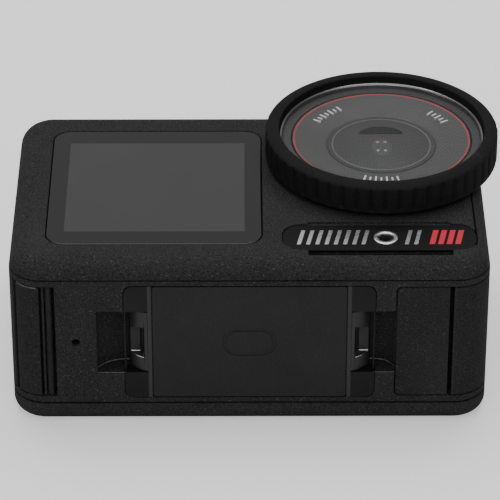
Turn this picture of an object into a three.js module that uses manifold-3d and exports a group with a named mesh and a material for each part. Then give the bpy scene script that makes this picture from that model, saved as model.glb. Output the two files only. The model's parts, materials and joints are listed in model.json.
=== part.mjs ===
// Action camera with a rubber lens bumper, lying on its rear screen.
//
// Millimetres, +Z up. The origin is the centre of the rear face.
//   +Z  out of the lens       +Y  towards the shutter button (top of the camera)
//   +X  towards the USB side  -Y  the quick-release face (bottom of the camera)

import * as THREE from "three";
import { mergeVertices } from "three/addons/utils/BufferGeometryUtils.js";
import Module from "manifold-3d";

const wasm = await Module();
wasm.setup();

// ---------------------------------------------------------------- driving dimensions

const BODY = { x: 70.5, y: 44.2, z: 27.7, corner: 5, frontRound: 3.2, rearRound: 2.1 };
const SEAM = { rear: 3.5, front: 25.05, half: 0.15 }; // the two joints between the shells
const CAVITY = { left: -32.2, right: 32.2, low: -17.4, high: 20.6, corner: 1.2 };
const GAP = 0.15; // general clearance between neighbouring pieces
const MID_Z = 14.3; // middle height of the side covers, buttons and quick-release face

const FRONT_SCREEN = { left: -29.9, right: 1.84, half: 16.13, corner: 2.7, glass: 0.8 };
const REAR_SCREEN = { x: 31.0, y: 18.5, corner: 2.6, glass: 0.8 };
const NAME_PLATE = { left: 4.8, right: 33.4, low: -17.7, high: -10.7, corner: 2.9 };
const SLIT = { left: 8.6, right: 29.7, low: [-19.15, -17.6], high: [-10.8, -10.15] };
const FRONT_MIC = { x: 20, y: -14.2 };
const BOTTOM_MIC = { x: -25.5, z: MID_Z };

const LENS = { x: 20.1, y: 8.3, hole: 11.8 };
const BUMPER = { inner: 15.5, outer: 17.6, base: 28.3, top: 33.1 };
const COVER = { inner: 14.25, outer: 15.4, base: 28.5, top: 31.9, ledge: 31.1 };
const COVER_GLASS = { radius: 14.9, base: 31.2, top: 31.75 };
const FASCIA = { inner: 8.1, outer: 13.5, low: 29.9, high: 31.05, thick: 0.5 };
const DOME = { radius: 7.55, base: 27.0, edge: 29.9, crown: 30.95 };

const DOOR = { low: 4.7, high: 24.0, depth: 2.0, thick: 1.2 }; // both side covers
const BATTERY_DOOR = { edge: 30.75, end: 18.4, seam: THREE.MathUtils.degToRad(-33.9), split: 0.07 };
const BATTERY_HINGE = { x: 29.3, y: -21.35, barrel: 0.62, pin: 0.4, clear: 28.47 };
const USB_COVER = { edge: 29.85, end: 2.0 };
const USB_HINGE = { x: 30.75, y: -21.05, barrel: 0.6, pin: 0.35 };
const USB_PANEL = { left: 21.55, right: 29.25 };
const RUNNING = 0.05; // radial clearance on a hinge pin

const MOUNT = { x: 18.4, low: 4.5, high: 24.1, depth: 2.2, pad: 14.2, padDepth: 1.0 };
const CLAW = { inner: 15.05, outer: 17.65, low: 9.0, high: 19.7, fall: 0.28 };
// The lock notch in a claw. Its upper face slopes, and a groove runs down its inner wall.
const NOTCH = { inner: 15.55, floor: -20.15, low: 11.6, high: 15.7, mouth: 17.5 };
const GROOVE = { wide: 0.5, floor: -19.5, high: 15.2 };
const POCKET = { outer: 22.4, shallow: 1.4, deep: 3.5 };

const BATTERY = { left: -31.0, right: 8.0, low: -16.4, high: 4.0, rear: 7.2, front: 19.6 };
const CARD = { left: -31.0, long: 15, wide: 11, thick: 1, y: 8.2, z: 13.6 };
const SHUTTER = { x: -17, hole: 6.3, cap: 4.75 };
const POWER = { y: 11, long: 9, wide: 4 };
const SCREW = { shaft: 0.6, head: 1.3, seat: 3.95, tip: 10.6, boss: 2.3 };
const SCREW_PLACES = [
  [-30.0, 18.6],
  [30.3, 18.6],
  [13.0, -15.4],
  [29.9, -15.4],
];

const HALF = { x: BODY.x / 2, y: BODY.y / 2 };
const CORNER = { x: HALF.x - BODY.corner, y: -HALF.y + BODY.corner };
const FINE = 4; // curve divisions of the large corners
const ROUND = 24; // segments round a large circle

// ---------------------------------------------------------------- solids

function signedVolume(points, triangles) {
  const [a, b, c] = [new THREE.Vector3(), new THREE.Vector3(), new THREE.Vector3()];
  let sum = 0;
  for (let i = 0; i < triangles.length; i += 3) {
    a.fromArray(points, 3 * triangles[i]);
    b.fromArray(points, 3 * triangles[i + 1]);
    c.fromArray(points, 3 * triangles[i + 2]);
    sum += a.dot(b.cross(c));
  }
  return sum;
}

// A closed geometry as a solid with its faces pointing out.
function solid(geometry) {
  geometry.deleteAttribute("normal");
  geometry.deleteAttribute("uv");
  const merged = mergeVertices(geometry, 1e-4);
  const points = merged.attributes.position.array;
  const corners = merged.index.array;
  const triangles = [];
  for (let i = 0; i < corners.length; i += 3) {
    const [a, b, c] = [corners[i], corners[i + 1], corners[i + 2]];
    if (a !== b && b !== c && c !== a) triangles.push(a, b, c);
  }
  if (signedVolume(points, triangles) < 0) triangles.reverse();
  return new wasm.Manifold(
    new wasm.Mesh({
      numProp: 3,
      vertProperties: new Float32Array(points),
      triVerts: new Uint32Array(triangles),
    }),
  );
}

function cut(body, ...tools) {
  return tools.flat().reduce((rest, tool) => rest.subtract(tool), body);
}

function join(...pieces) {
  return pieces.flat().reduce((sum, piece) => sum.add(piece));
}

function box(x0, x1, y0, y1, z0, z1) {
  const geometry = new THREE.BoxGeometry(x1 - x0, y1 - y0, z1 - z0);
  geometry.translate((x0 + x1) / 2, (y0 + y1) / 2, (z0 + z1) / 2);
  return solid(geometry);
}

function roundedRect(x0, x1, y0, y1, r) {
  const shape = new THREE.Shape();
  shape.moveTo(x0 + r, y0);
  shape.lineTo(x1 - r, y0);
  shape.absarc(x1 - r, y0 + r, r, -Math.PI / 2, 0);
  shape.absarc(x1 - r, y1 - r, r, 0, Math.PI / 2);
  shape.absarc(x0 + r, y1 - r, r, Math.PI / 2, Math.PI);
  shape.absarc(x0 + r, y0 + r, r, Math.PI, Math.PI * 1.5);
  return shape;
}

function polygon(...points) {
  return new THREE.Shape(points.map(([x, y]) => new THREE.Vector2(x, y)));
}

// An outline in X and Y, swept from z0 to z1. round is the radius of both rims.
function alongZ(shape, z0, z1, { round = 0, segments = 2, rim = 2 } = {}) {
  const geometry = new THREE.ExtrudeGeometry(shape, {
    depth: z1 - z0 - 2 * round,
    curveSegments: segments,
    bevelEnabled: round > 0,
    bevelThickness: round,
    bevelSize: round,
    bevelOffset: -round,
    bevelSegments: rim,
  });
  geometry.translate(0, 0, z0 + round);
  return geometry;
}

// An outline in X and Z, swept from y0 to y1.
function alongY(shape, y0, y1, options) {
  return alongZ(shape, -y1, -y0, options).rotateX(Math.PI / 2);
}

// An outline in Y and Z, swept from x0 to x1.
function alongX(shape, x0, x1, options) {
  const turn = new THREE.Matrix4().makeBasis(
    new THREE.Vector3(0, 1, 0),
    new THREE.Vector3(0, 0, 1),
    new THREE.Vector3(1, 0, 0),
  );
  return alongZ(shape, x0, x1, options).applyMatrix4(turn);
}

function rod(x, y, radius, z0, z1, sides = 12) {
  const geometry = new THREE.CylinderGeometry(radius, radius, z1 - z0, sides);
  geometry.rotateX(Math.PI / 2).translate(x, y, (z0 + z1) / 2);
  return solid(geometry);
}

// A profile of [radius, height] points turned about the Z axis. It closes on itself,
// or it starts and ends on the axis.
function turned(profile, segments = ROUND) {
  const onAxis = profile[0][0] === 0;
  const loop = onAxis ? profile : [...profile, profile[0]];
  const points = loop.map(([r, z]) => new THREE.Vector2(r, z));
  return solid(new THREE.LatheGeometry(points, segments).rotateX(Math.PI / 2));
}

// Points of a shallow dome from its rim to its crown on the axis.
function domePoints(radius, rim, crown, steps = 5) {
  const points = [];
  for (let i = 0; i <= steps; i += 1) {
    const r = radius * (1 - i / steps);
    points.push([r, crown - (crown - rim) * (r / radius) ** 2]);
  }
  return points;
}

function mirrorX(geometry) {
  return geometry.scale(-1, 1, 1);
}

// ---------------------------------------------------------------- outer shells

function bodyOutline() {
  return roundedRect(-HALF.x, HALF.x, -HALF.y, HALF.y, BODY.corner);
}

// The whole outside shape between two heights, with its rounded front and rear rims.
function bodySlice(z0, z1) {
  const rims = { segments: FINE, rim: 3 };
  const front = solid(alongZ(bodyOutline(), 0, BODY.z, { round: BODY.frontRound, ...rims }));
  const rear = solid(alongZ(bodyOutline(), 0, BODY.z, { round: BODY.rearRound, ...rims }));
  const [wide, deep] = [HALF.x + 1, HALF.y + 1];
  const half = (low, high) => box(-wide, wide, -deep, deep, low, high);
  const whole = join(front.intersect(half(MID_Z, 40)), rear.intersect(half(-1, MID_Z)));
  return whole.intersect(half(z0, z1));
}

// A strip that follows the lower right of the body's outline between two insets. It
// starts at an x on the bottom face or at an angle of the corner, and ends at an angle
// or at a y on the side face.
function outlineStrip(from, to, outer, inner) {
  const start = from.angle ?? -Math.PI / 2;
  const end = to.angle ?? 0;
  const shape = new THREE.Shape();
  if (from.x !== undefined) {
    shape.moveTo(from.x, -HALF.y + outer);
    shape.lineTo(CORNER.x, -HALF.y + outer);
  }
  shape.absarc(CORNER.x, CORNER.y, BODY.corner - outer, start, end, false);
  if (to.y !== undefined) {
    shape.lineTo(HALF.x - outer, to.y);
    shape.lineTo(HALF.x - inner, to.y);
  }
  shape.absarc(CORNER.x, CORNER.y, BODY.corner - inner, end, start, true);
  if (from.x !== undefined) shape.lineTo(from.x, -HALF.y + inner);
  return shape;
}

// The hollow that a side cover lies in.
function coverRecess(fromX, toY) {
  const outside = -3;
  const strip = outlineStrip({ x: fromX }, { y: toY }, outside, DOOR.depth);
  return alongZ(strip, DOOR.low, DOOR.high, { segments: FINE });
}

function batterySideCuts() {
  const pinHole = BATTERY_HINGE.pin + RUNNING;
  const { low, high, rear, front } = BATTERY;
  const room = GAP * 2;
  const mouth = roundedRect(low - room, high + room, rear - room, front + room, 1);
  const slotHalf = CARD.wide / 2 + 0.4;
  return [
    solid(mirrorX(coverRecess(BATTERY_HINGE.clear, BATTERY_DOOR.end + GAP))),
    rod(-BATTERY_HINGE.x, BATTERY_HINGE.y, pinHole, 3, 26),
    solid(alongX(mouth, -36, -31)),
    box(-36, -31, CARD.y - 1.1, CARD.y + 1.1, CARD.z - slotHalf, CARD.z + slotHalf),
  ];
}

function usbSideCuts() {
  const swing = Math.hypot(USB_COVER.edge - USB_HINGE.x, HALF.y + USB_HINGE.y) + 0.1;
  const panel = roundedRect(USB_PANEL.left - GAP, USB_PANEL.right + 2.2, DOOR.low, DOOR.high, 1.5);
  return [
    solid(coverRecess(USB_COVER.edge - 0.3, USB_COVER.end + GAP)),
    rod(USB_HINGE.x, USB_HINGE.y, swing, DOOR.low, DOOR.high, 24),
    rod(USB_HINGE.x, USB_HINGE.y, USB_HINGE.pin + RUNNING, 3, 26),
    solid(alongY(panel, -HALF.y - 1, -HALF.y + DOOR.thick + GAP)),
    solid(alongX(roundedRect(-12.8, -3.2, MID_Z - 2, MID_Z + 2, 1.5), 31, 36)),
  ];
}

// The pocket beside a claw: a floor that slopes down towards the claw.
function clawPocket(outer) {
  const floor = -HALF.y + POCKET.deep;
  const lip = -HALF.y + POCKET.shallow;
  const shape = new THREE.Shape();
  shape.moveTo(outer, -HALF.y - 1);
  shape.lineTo(outer, lip);
  shape.quadraticCurveTo(CLAW.outer + 2.95, floor + 0.25, CLAW.outer, floor);
  shape.lineTo(CLAW.inner - GAP, floor);
  shape.lineTo(CLAW.inner - GAP, -HALF.y - 1);
  return alongZ(shape, CLAW.low, CLAW.high);
}

function quickReleaseCuts() {
  const { x, low, high, depth } = MOUNT;
  const recess = roundedRect(-x - GAP, x + GAP, low - GAP, high + GAP, 1.3);
  const magnet = (centre) => box(centre - 4.4, centre + 4.4, -20, -18.2, 10, 18.6);
  return [
    solid(alongY(recess, -HALF.y - 1, -HALF.y + depth + GAP)),
    solid(mirrorX(clawPocket(POCKET.outer))),
    solid(clawPocket(USB_PANEL.left - GAP)),
    magnet(-7),
    magnet(7),
  ];
}

function topCuts() {
  const slots = [];
  for (let i = 0; i < 5; i += 1) {
    const x = -3 + 2 * i;
    slots.push(solid(alongY(roundedRect(x, x + 1, 10.3, 18.3, 0.45), 20, 23)));
  }
  const button = rod(0, 0, SHUTTER.hole, 20, 23, 24).rotate([-90, 0, 0]);
  return [...slots, button.translate([SHUTTER.x, 0, MID_Z])];
}

function powerButtonHole() {
  const { y, long, wide } = POWER;
  const [halfLong, halfWide] = [long / 2 + 0.2, wide / 2 + 0.2];
  const hole = roundedRect(y - halfLong, y + halfLong, MID_Z - halfWide, MID_Z + halfWide, 2.1);
  return solid(alongX(hole, 31, 36));
}

function bottomMicCuts() {
  const { x, z } = BOTTOM_MIC;
  const hole = rod(0, 0, 0.62, 17, 23, 10).rotate([90, 0, 0]).translate([x, 0, z]);
  return [hole, box(x - 1.8, x + 1.8, -20.6, -17, z - 1.8, z + 1.8)];
}

function mainHousing() {
  const shell = bodySlice(SEAM.rear + SEAM.half, SEAM.front - SEAM.half);
  const { left, right, low, high, corner } = CAVITY;
  const cavity = solid(alongZ(roundedRect(left, right, low, high, corner), 0, 30));
  const bosses = SCREW_PLACES.map(([x, y]) => rod(x, y, SCREW.boss, 5.05, SCREW.tip + 1));
  const core = join(cut(shell, cavity), bosses);
  const pilots = SCREW_PLACES.map(([x, y]) => rod(x, y, SCREW.shaft + 0.06, 4, SCREW.tip + 0.4, 12));
  return cut(
    core,
    pilots,
    batterySideCuts(),
    usbSideCuts(),
    quickReleaseCuts(),
    topCuts(),
    powerButtonHole(),
    bottomMicCuts(),
  );
}

function frontCover() {
  const shell = bodySlice(SEAM.front + SEAM.half, BODY.z + 1);
  const { left, right, half, corner, glass } = FRONT_SCREEN;
  const rim = 0.12;
  const bed = BODY.z - glass - 0.15;
  const pocket = roundedRect(left - rim, right + rim, -half - rim, half + rim, corner + rim);
  const ledge = 1.1;
  const window = roundedRect(left + ledge, right - ledge, -half + ledge, half - ledge, 1.2);
  const plate = roundedRect(
    NAME_PLATE.left, NAME_PLATE.right, NAME_PLATE.low, NAME_PLATE.high, NAME_PLATE.corner,
  );
  const slit = ([y0, y1], floor) =>
    solid(alongZ(roundedRect(SLIT.left, SLIT.right, y0, y1, 0.3), floor, 30));
  const under = roundedRect(-32.2, 32.2, -19.2, 19.2, 2.4);
  return cut(
    shell,
    solid(alongZ(pocket, bed, 30)),
    solid(alongZ(window, 20, 30)),
    solid(alongZ(under, 20, 26.2)),
    solid(alongZ(plate, 27.0, 30)),
    slit(SLIT.low, 26.7),
    slit(SLIT.high, 27.3),
    rod(LENS.x, LENS.y, LENS.hole, 20, 30, ROUND),
    rod(FRONT_MIC.x, FRONT_MIC.y, 1.0, 20, 30),
  );
}

function rearBezel() {
  const shell = bodySlice(0, SEAM.rear - SEAM.half);
  const { x, y, corner, glass } = REAR_SCREEN;
  const wide = 0.15;
  const pocket = roundedRect(-x - wide, x + wide, -y - wide, y + wide, corner);
  const ledge = 1.3;
  const window = roundedRect(-x + ledge, x - ledge, -y + ledge, y - ledge, 1.4);
  const under = roundedRect(-33.3, 33.3, -20.2, 20.2, 2.8);
  return cut(
    shell,
    solid(alongZ(pocket, -1, glass + 0.15)),
    solid(alongZ(window, -1, 5)),
    solid(alongZ(under, 1.9, 5)),
  );
}

// ---------------------------------------------------------------- screens and name plate

function frontScreenGlass() {
  const { left, right, half, corner, glass } = FRONT_SCREEN;
  const top = BODY.z - 0.02;
  return solid(alongZ(roundedRect(left, right, -half, half, corner), top - glass, top));
}

function frontDisplayPanel() {
  const { left, right, half, glass } = FRONT_SCREEN;
  const inset = 1.3;
  const outline = roundedRect(left + inset, right - inset, -half + inset, half - inset, 1);
  const top = BODY.z - 0.02 - glass - GAP;
  return solid(alongZ(outline, top - 1.2, top));
}

function rearScreenGlass() {
  const { x, y, corner, glass } = REAR_SCREEN;
  return solid(alongZ(roundedRect(-x, x, -y, y, corner), 0, glass));
}

function rearDisplayPanel() {
  const { x, y, glass } = REAR_SCREEN;
  const inset = 1.5;
  const outline = roundedRect(-x + inset, x - inset, -y + inset, y - inset, 1.2);
  return solid(alongZ(outline, glass + GAP, 2.5));
}

function namePlate() {
  const edge = 0.1;
  const outline = roundedRect(
    NAME_PLATE.left + edge, NAME_PLATE.right - edge,
    NAME_PLATE.low + edge, NAME_PLATE.high - edge, NAME_PLATE.corner - edge,
  );
  const hole = rod(FRONT_MIC.x, FRONT_MIC.y, 1.95, 20, 30, 16);
  return cut(solid(alongZ(outline, 27.06, 27.5)), hole);
}

// ---------------------------------------------------------------- lens, about its own axis

function lensMountRing() {
  return turned([
    [9.0, 24.2], [11.5, 24.2], [11.5, 28.0], [14.0, 28.0], [14.0, 29.7],
    [13.5, 29.7], [13.3, 30.3], [9.0, 29.4],
  ]);
}

// A thin dish that rises outwards.
function lensFascia() {
  const { inner, outer, low, high, thick } = FASCIA;
  return turned([[inner, low - thick], [outer, high - thick], [outer, high], [inner, low]]);
}

function lensBarrel() {
  return turned([
    [8.8, 10.5], [8.8, 29.2], [7.7, 29.2], [7.7, 26.8], [6.7, 26.8], [6.7, 18.4],
    [5.7, 18.4], [5.7, 10.5],
  ], 24);
}

function lensFrontElement() {
  const { radius, base, edge, crown } = DOME;
  return turned([[0, base], [radius, base], ...domePoints(radius, edge, crown, 4)], 32);
}

function biconvex(radius, low, high, bulge) {
  const upper = domePoints(radius, high, high + bulge, 2);
  const lower = domePoints(radius, low, low - bulge, 2).reverse();
  return turned([...lower, ...upper], 16);
}

// A skirt outside, a thin wall round the glass and a ledge under it.
function lensCoverRing() {
  const { inner, outer, base, top, ledge } = COVER;
  const wall = COVER_GLASS.radius + GAP;
  return turned([
    [inner, base], [outer, base], [outer, top], [wall, top], [wall, ledge],
    [13.75, ledge], [13.75, ledge - 0.45], [14.55, ledge - 0.45], [14.55, 29.6], [inner, 29.6],
  ]);
}

function lensCoverGlass() {
  const { radius, base, top } = COVER_GLASS;
  return turned([[0, base], [radius, base], [radius, top], [0, top]]);
}

function lensCoverSeal() {
  return turned([
    [14.05, 29.85], [14.35, 30.15], [14.05, 30.45], [13.75, 30.15],
  ]);
}

function rubberBumper() {
  const { inner, outer, base, top } = BUMPER;
  return turned([
    [inner, base], [outer - 0.4, base], [outer, base + 0.4], [outer, top - 0.65],
    [outer - 1.1, top], [inner, top],
  ], 32);
}

function lensBracket() {
  const plate = roundedRect(-9.7, 9.4, -10.6, 10.2, 2);
  return cut(solid(alongZ(plate, 11.9, 13.2)), rod(0, 0, 9.1, 10, 15, 24));
}

// ---------------------------------------------------------------- battery side, drawn on +X

function mirroredSolid(geometry) {
  return solid(mirrorX(geometry));
}

function batteryDoorLeaf() {
  const seam = BATTERY_DOOR.seam - BATTERY_DOOR.split;
  const strip = outlineStrip({ x: BATTERY_HINGE.x }, { angle: seam }, 0, DOOR.thick);
  const [low, high] = [DOOR.low + GAP, DOOR.high - GAP];
  const web = roundedRect(BATTERY_HINGE.x, BATTERY_DOOR.edge + 0.4, -21.6, -21.0, 0.05);
  const bar = roundedRect(30.0, 30.36, -21.9, -21.2, 0.1);
  const { x, y, barrel, pin } = BATTERY_HINGE;
  const pastEdge = box(-BATTERY_DOOR.edge, 0, -30, 0, 0, 30);
  const body = join(
    cut(mirroredSolid(alongZ(strip, low, high, { segments: FINE })), pastEdge),
    mirroredSolid(alongZ(web, low, high, { segments: 1 })),
    mirroredSolid(alongZ(bar, low, high, { segments: 2 })),
    rod(-x, y, barrel, low, high),
  );
  return cut(body, rod(-x, y, pin + RUNNING, 0, 30));
}

function batteryDoorPanel() {
  const seam = BATTERY_DOOR.seam + BATTERY_DOOR.split;
  const strip = outlineStrip({ angle: seam }, { y: BATTERY_DOOR.end }, 0, DOOR.thick);
  const panel = mirroredSolid(alongZ(strip, DOOR.low + GAP, DOOR.high - GAP, { segments: FINE }));
  const track = roundedRect(9.5, 17.5, 10.6, 18.0, 1.2);
  const slot = roundedRect(12.1, 16.8, 13.2, 15.4, 0.4);
  return cut(panel, solid(alongX(track, -37, -34.55)), solid(alongX(slot, -37, -30)));
}

function batteryDoorSeal() {
  const outer = roundedRect(-17.2, 11.0, 5.9, 22.8, 2);
  outer.holes.push(roundedRect(-16.9 + 0.6, 10.1, 6.8, 21.9, 1.4));
  return solid(alongX(outer, -34.0, -33.35));
}

function batteryLatch() {
  const thumb = solid(alongX(roundedRect(11.7, 17.3, 10.8, 17.8, 1.0), -35.2, -34.65));
  const stem = box(-34.8, -33.8, 14.3, 16.6, 13.4, 15.2);
  const tongue = box(-33.95, -33.4, 13.2, 18.2, 12.4, 16.2);
  const ribs = [12.6, 13.7, 14.8, 15.9].map((y) => box(-35.5, -35.0, y, y + 0.4, 11.8, 16.8));
  return join(thumb, stem, tongue, ribs);
}

function batteryHingePin() {
  return rod(-BATTERY_HINGE.x, BATTERY_HINGE.y, BATTERY_HINGE.pin, 3.8, 24.75, 12);
}

function battery() {
  const { left, right, low, high, rear, front } = BATTERY;
  const outline = roundedRect(low, high, rear, front, 1.4);
  const pull = box(left - 1, left + 0.5, low + 6, high - 6, rear + 5.2, front - 5.2);
  return cut(solid(alongX(outline, left, right, { round: 0.4, rim: 2 })), pull);
}

function batteryTray() {
  const { low, high, rear, front } = BATTERY;
  const [room, wall] = [0.25, 0.45];
  const out = room + wall;
  const outer = roundedRect(low - out, high + out, rear - out, front + out, 1.4);
  const inner = roundedRect(low - room, high + room, rear - room, front + room, 1.2);
  return cut(solid(alongX(outer, -31.4, 9.4)), solid(alongX(inner, -40, 8.9)));
}

function batteryContacts() {
  const base = box(8.45, 8.8, -12, -2, 11, 16);
  const blades = [-10.5, -8, -5.5, -3.5].map((y) => box(8.12, 8.5, y, y + 0.9, 11.8, 15.2));
  return join(base, blades);
}

function cardSocket() {
  const { y, z, left, long, wide, thick } = CARD;
  const half = wide / 2;
  const body = box(left + 0.8, left + 17.2, y - 1.4, y + 1.4, z - half - 0.9, z + half + 0.9);
  const room = thick / 2 + 0.12;
  const slot = box(left - 1, left + long + 1.2, y - room, y + room, z - half - 0.2, z + half + 0.2);
  return cut(body, slot);
}

function memoryCard() {
  const { y, z, left, long, wide, thick } = CARD;
  const outline = roundedRect(left, left + long, z - wide / 2, z + wide / 2, 0.6);
  const notch = box(left + 9, left + long + 1, y - 2, y + 2, z + wide / 2 - 0.9, z + wide);
  return cut(solid(alongY(outline, y - thick / 2, y + thick / 2)), notch);
}

// ---------------------------------------------------------------- USB side

function usbCover() {
  const [low, high] = [DOOR.low + GAP, DOOR.high - GAP];
  const strip = outlineStrip({ x: USB_COVER.edge }, { y: USB_COVER.end }, 0, DOOR.thick);
  const { x, y, barrel, pin } = USB_HINGE;
  const body = join(
    solid(alongZ(strip, low, high, { segments: FINE })),
    rod(x, y, barrel, low, high),
  );
  const grip = solid(alongX(roundedRect(-1.2, 3, 10.8, 17.8, 0.6), 34.9, 37));
  return cut(body, rod(x, y, pin + RUNNING, 0, 30), grip);
}

function usbCoverSeal() {
  const outer = roundedRect(-14.4, -1.6, 10.2, 18.4, 2.4);
  outer.holes.push(roundedRect(-13.3, -2.7, 11.3, 17.3, 1.8));
  return solid(alongX(outer, 33.35, 34.0));
}

function usbHingePin() {
  return rod(USB_HINGE.x, USB_HINGE.y, USB_HINGE.pin, 3.8, 24.75, 12);
}

function usbHingePanel() {
  const [low, high] = [DOOR.low + GAP, DOOR.high - GAP];
  const outline = roundedRect(USB_PANEL.left, USB_PANEL.right, low, high, 1.4);
  const square = box(27, USB_PANEL.right, -HALF.y, -HALF.y + DOOR.thick, low, high);
  return join(solid(alongY(outline, -HALF.y, -HALF.y + DOOR.thick)), square);
}

function usbSocket() {
  const shell = solid(alongX(roundedRect(-12.5, -3.5, MID_Z - 1.6, MID_Z + 1.6, 1.4), 25.6, 32.9));
  const hollow = solid(alongX(roundedRect(-12.2, -3.8, MID_Z - 1.3, MID_Z + 1.3, 1.2), 27, 34));
  const tongue = box(26.5, 32.2, -11.1, -4.9, MID_Z - 0.35, MID_Z + 0.35);
  return join(cut(shell, hollow), tongue);
}

// ---------------------------------------------------------------- quick-release face

function mountPlate() {
  const { x, low, high, depth, pad, padDepth } = MOUNT;
  const plate = solid(alongY(roundedRect(-x, x, low, high, 1.2), -HALF.y, -HALF.y + depth));
  const bed = box(-pad - 0.1, pad + 0.1, -23, -HALF.y + padDepth, 0, 30);
  const notch = (side) => {
    const [a, b] = [side * (CLAW.inner - GAP), side * 20].sort((p, q) => p - q);
    return box(a, b, -23, -19, CLAW.low, CLAW.high);
  };
  return cut(plate, bed, notch(-1), notch(1));
}

function mountPad() {
  const { low, high, pad, padDepth } = MOUNT;
  const outline = roundedRect(-pad, pad, low + 0.1, high - 0.1, 0.4);
  const plain = solid(alongY(outline, -HALF.y + 0.05, -HALF.y + padDepth - GAP));
  const ring = roundedRect(-4, 4, 11.9, 16.9, 2.4);
  ring.holes.push(roundedRect(-3.3, 3.3, 12.6, 16.2, 1.7));
  return cut(plain, solid(alongY(ring, -23, -HALF.y + 0.25)));
}

// A claw, drawn on +X: a rounded shoulder that falls away outwards, with a lock notch in it.
function mountClaw(side) {
  const { inner, outer, low, high, fall } = CLAW;
  const face = -HALF.y + 0.05;
  const shoulder = [];
  for (let i = 0; i <= 5; i += 1) {
    const out = ((outer - inner) * i) / 5;
    shoulder.push([inner + out, face + fall * out ** 2]);
  }
  const deep = -HALF.y + POCKET.deep - GAP;
  const body = alongZ(polygon(...shoulder, [outer, deep], [inner, deep]), low + 0.2, high - 0.2);
  const outside = -HALF.y - 0.95;
  const opening = (floor, top) => polygon(
    [outside, NOTCH.low], [floor, NOTCH.low], [floor, top], [outside, NOTCH.mouth],
  );
  const notch = alongX(opening(NOTCH.floor, NOTCH.high), NOTCH.inner, outer + 1);
  const groove = alongX(opening(GROOVE.floor, GROOVE.high), NOTCH.inner, NOTCH.inner + GROOVE.wide);
  if (side < 0) [body, notch, groove].forEach(mirrorX);
  return cut(solid(body), solid(notch), solid(groove));
}

function magnet(x) {
  return box(x - 4.2, x + 4.2, -19.75, -18.4, 10.2, 18.4);
}

// ---------------------------------------------------------------- inside the housing

function caseScrew() {
  const { shaft, head, seat, tip } = SCREW;
  const body = turned([
    [0, seat - 0.75], [head - 0.2, seat - 0.75], [head, seat - 0.5], [head, seat],
    [shaft, seat], [shaft, tip - 0.4], [0, tip],
  ], 8);
  return cut(body, box(-2, 2, -0.2, 0.2, 3, 3.5));
}

function chassisPlate() {
  const { left, right, low, high, corner } = CAVITY;
  const edge = 0.3;
  const outline = roundedRect(left + edge, right - edge, low + edge, high - edge, corner);
  const holes = SCREW_PLACES.map(([x, y]) => rod(x, y, SCREW.shaft + 0.2, 0, 9, 12));
  return cut(solid(alongZ(outline, 4.05, 4.9)), holes);
}

function mainBoard() {
  const board = solid(alongZ(roundedRect(-27, 8.6, -16.6, 15.4, 1), 21.3, 22.2));
  return cut(board, box(3, 10, 9, 17, 20, 24));
}

function speaker() {
  return solid(alongY(roundedRect(-4, 6, 9.3, 19.3, 2), 17.4, 20.1));
}

function microphone(z0, z1) {
  return rod(0, 0, 1.5, z0, z1);
}

function microphoneRing() {
  return turned([[1.1, 27.06], [1.85, 27.06], [1.85, 27.5], [1.7, 27.62], [1.1, 27.62]], 16);
}

// ---------------------------------------------------------------- buttons, drawn outwards

function shutterTrimRing() {
  return turned([
    [4.9, -1.45], [6.15, -1.45], [6.15, 0.15], [5.95, 0.35], [5.1, 0.35], [4.9, 0.2],
  ], 24);
}

function shutterButton() {
  const { cap } = SHUTTER;
  return turned([
    [0, -2.3], [1.5, -2.3], [1.5, -1.3], [cap, -1.3], [cap, 0.35], [cap - 0.4, 0.7], [0, 0.85],
  ], 24);
}

function shutterSwitch() {
  return join(box(-2.2, 2.2, -1.6, 1.6, -4.4, -3.5), rod(0, 0, 1.1, -3.6, -3.05, 12));
}

function powerButton() {
  const { long, wide } = POWER;
  const outline = roundedRect(-long / 2, long / 2, -wide / 2, wide / 2, wide / 2 - 0.25);
  const cap = solid(alongX(outline, -1.7, 0.4, { round: 0.3, rim: 2 }));
  return join(cap, box(-3.25, -1.5, -1, 1, -0.8, 0.8));
}

function powerSwitch() {
  return join(box(-5.2, -4.3, -2.2, 2.2, -1.6, 1.6), box(-4.5, -3.9, -0.9, 0.9, -0.7, 0.7));
}

// ---------------------------------------------------------------- finishes

const FINISHES = {
  bodyPlastic: { color: 0x343434, roughness: 0.72, metalness: 0 },
  coverPlastic: { color: 0x2c2c2c, roughness: 0.62, metalness: 0 },
  smoothPlastic: { color: 0x303030, roughness: 0.38, metalness: 0 },
  plateBlack: { color: 0x1c1c1c, roughness: 0.5, metalness: 0 },
  rubber: { color: 0x161616, roughness: 0.82, metalness: 0 },
  screenGlass: { color: 0x303230, roughness: 0.12, metalness: 0 },
  display: { color: 0x494c4a, roughness: 0.3, metalness: 0 },
  clearGlass: { color: 0x9a9a9a, roughness: 0.05, metalness: 0 },
  fascia: { color: 0x4a4a4a, roughness: 0.45, metalness: 0.2 },
  blackMetal: { color: 0x1a1a1a, roughness: 0.4, metalness: 0.8 },
  brightMetal: { color: 0xb8b8b6, roughness: 0.3, metalness: 1 },
  steel: { color: 0x8f9090, roughness: 0.35, metalness: 1 },
  board: { color: 0x14402a, roughness: 0.6, metalness: 0 },
  chip: { color: 0x18181a, roughness: 0.5, metalness: 0 },
  gold: { color: 0xb08a3c, roughness: 0.35, metalness: 1 },
  red: { color: 0xa3202c, roughness: 0.45, metalness: 0 },
};

function part(name, shape, finish) {
  const { numProp, vertProperties, triVerts } = shape.getMesh();
  const geometry = new THREE.BufferGeometry();
  geometry.setAttribute("position", new THREE.BufferAttribute(vertProperties, numProp));
  geometry.setIndex(new THREE.BufferAttribute(triVerts, 1));
  geometry.computeVertexNormals();
  const mesh = new THREE.Mesh(geometry, new THREE.MeshStandardMaterial(FINISHES[finish]));
  mesh.name = name;
  return mesh;
}

// ---------------------------------------------------------------- assembly

const camera = new THREE.Group();

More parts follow.
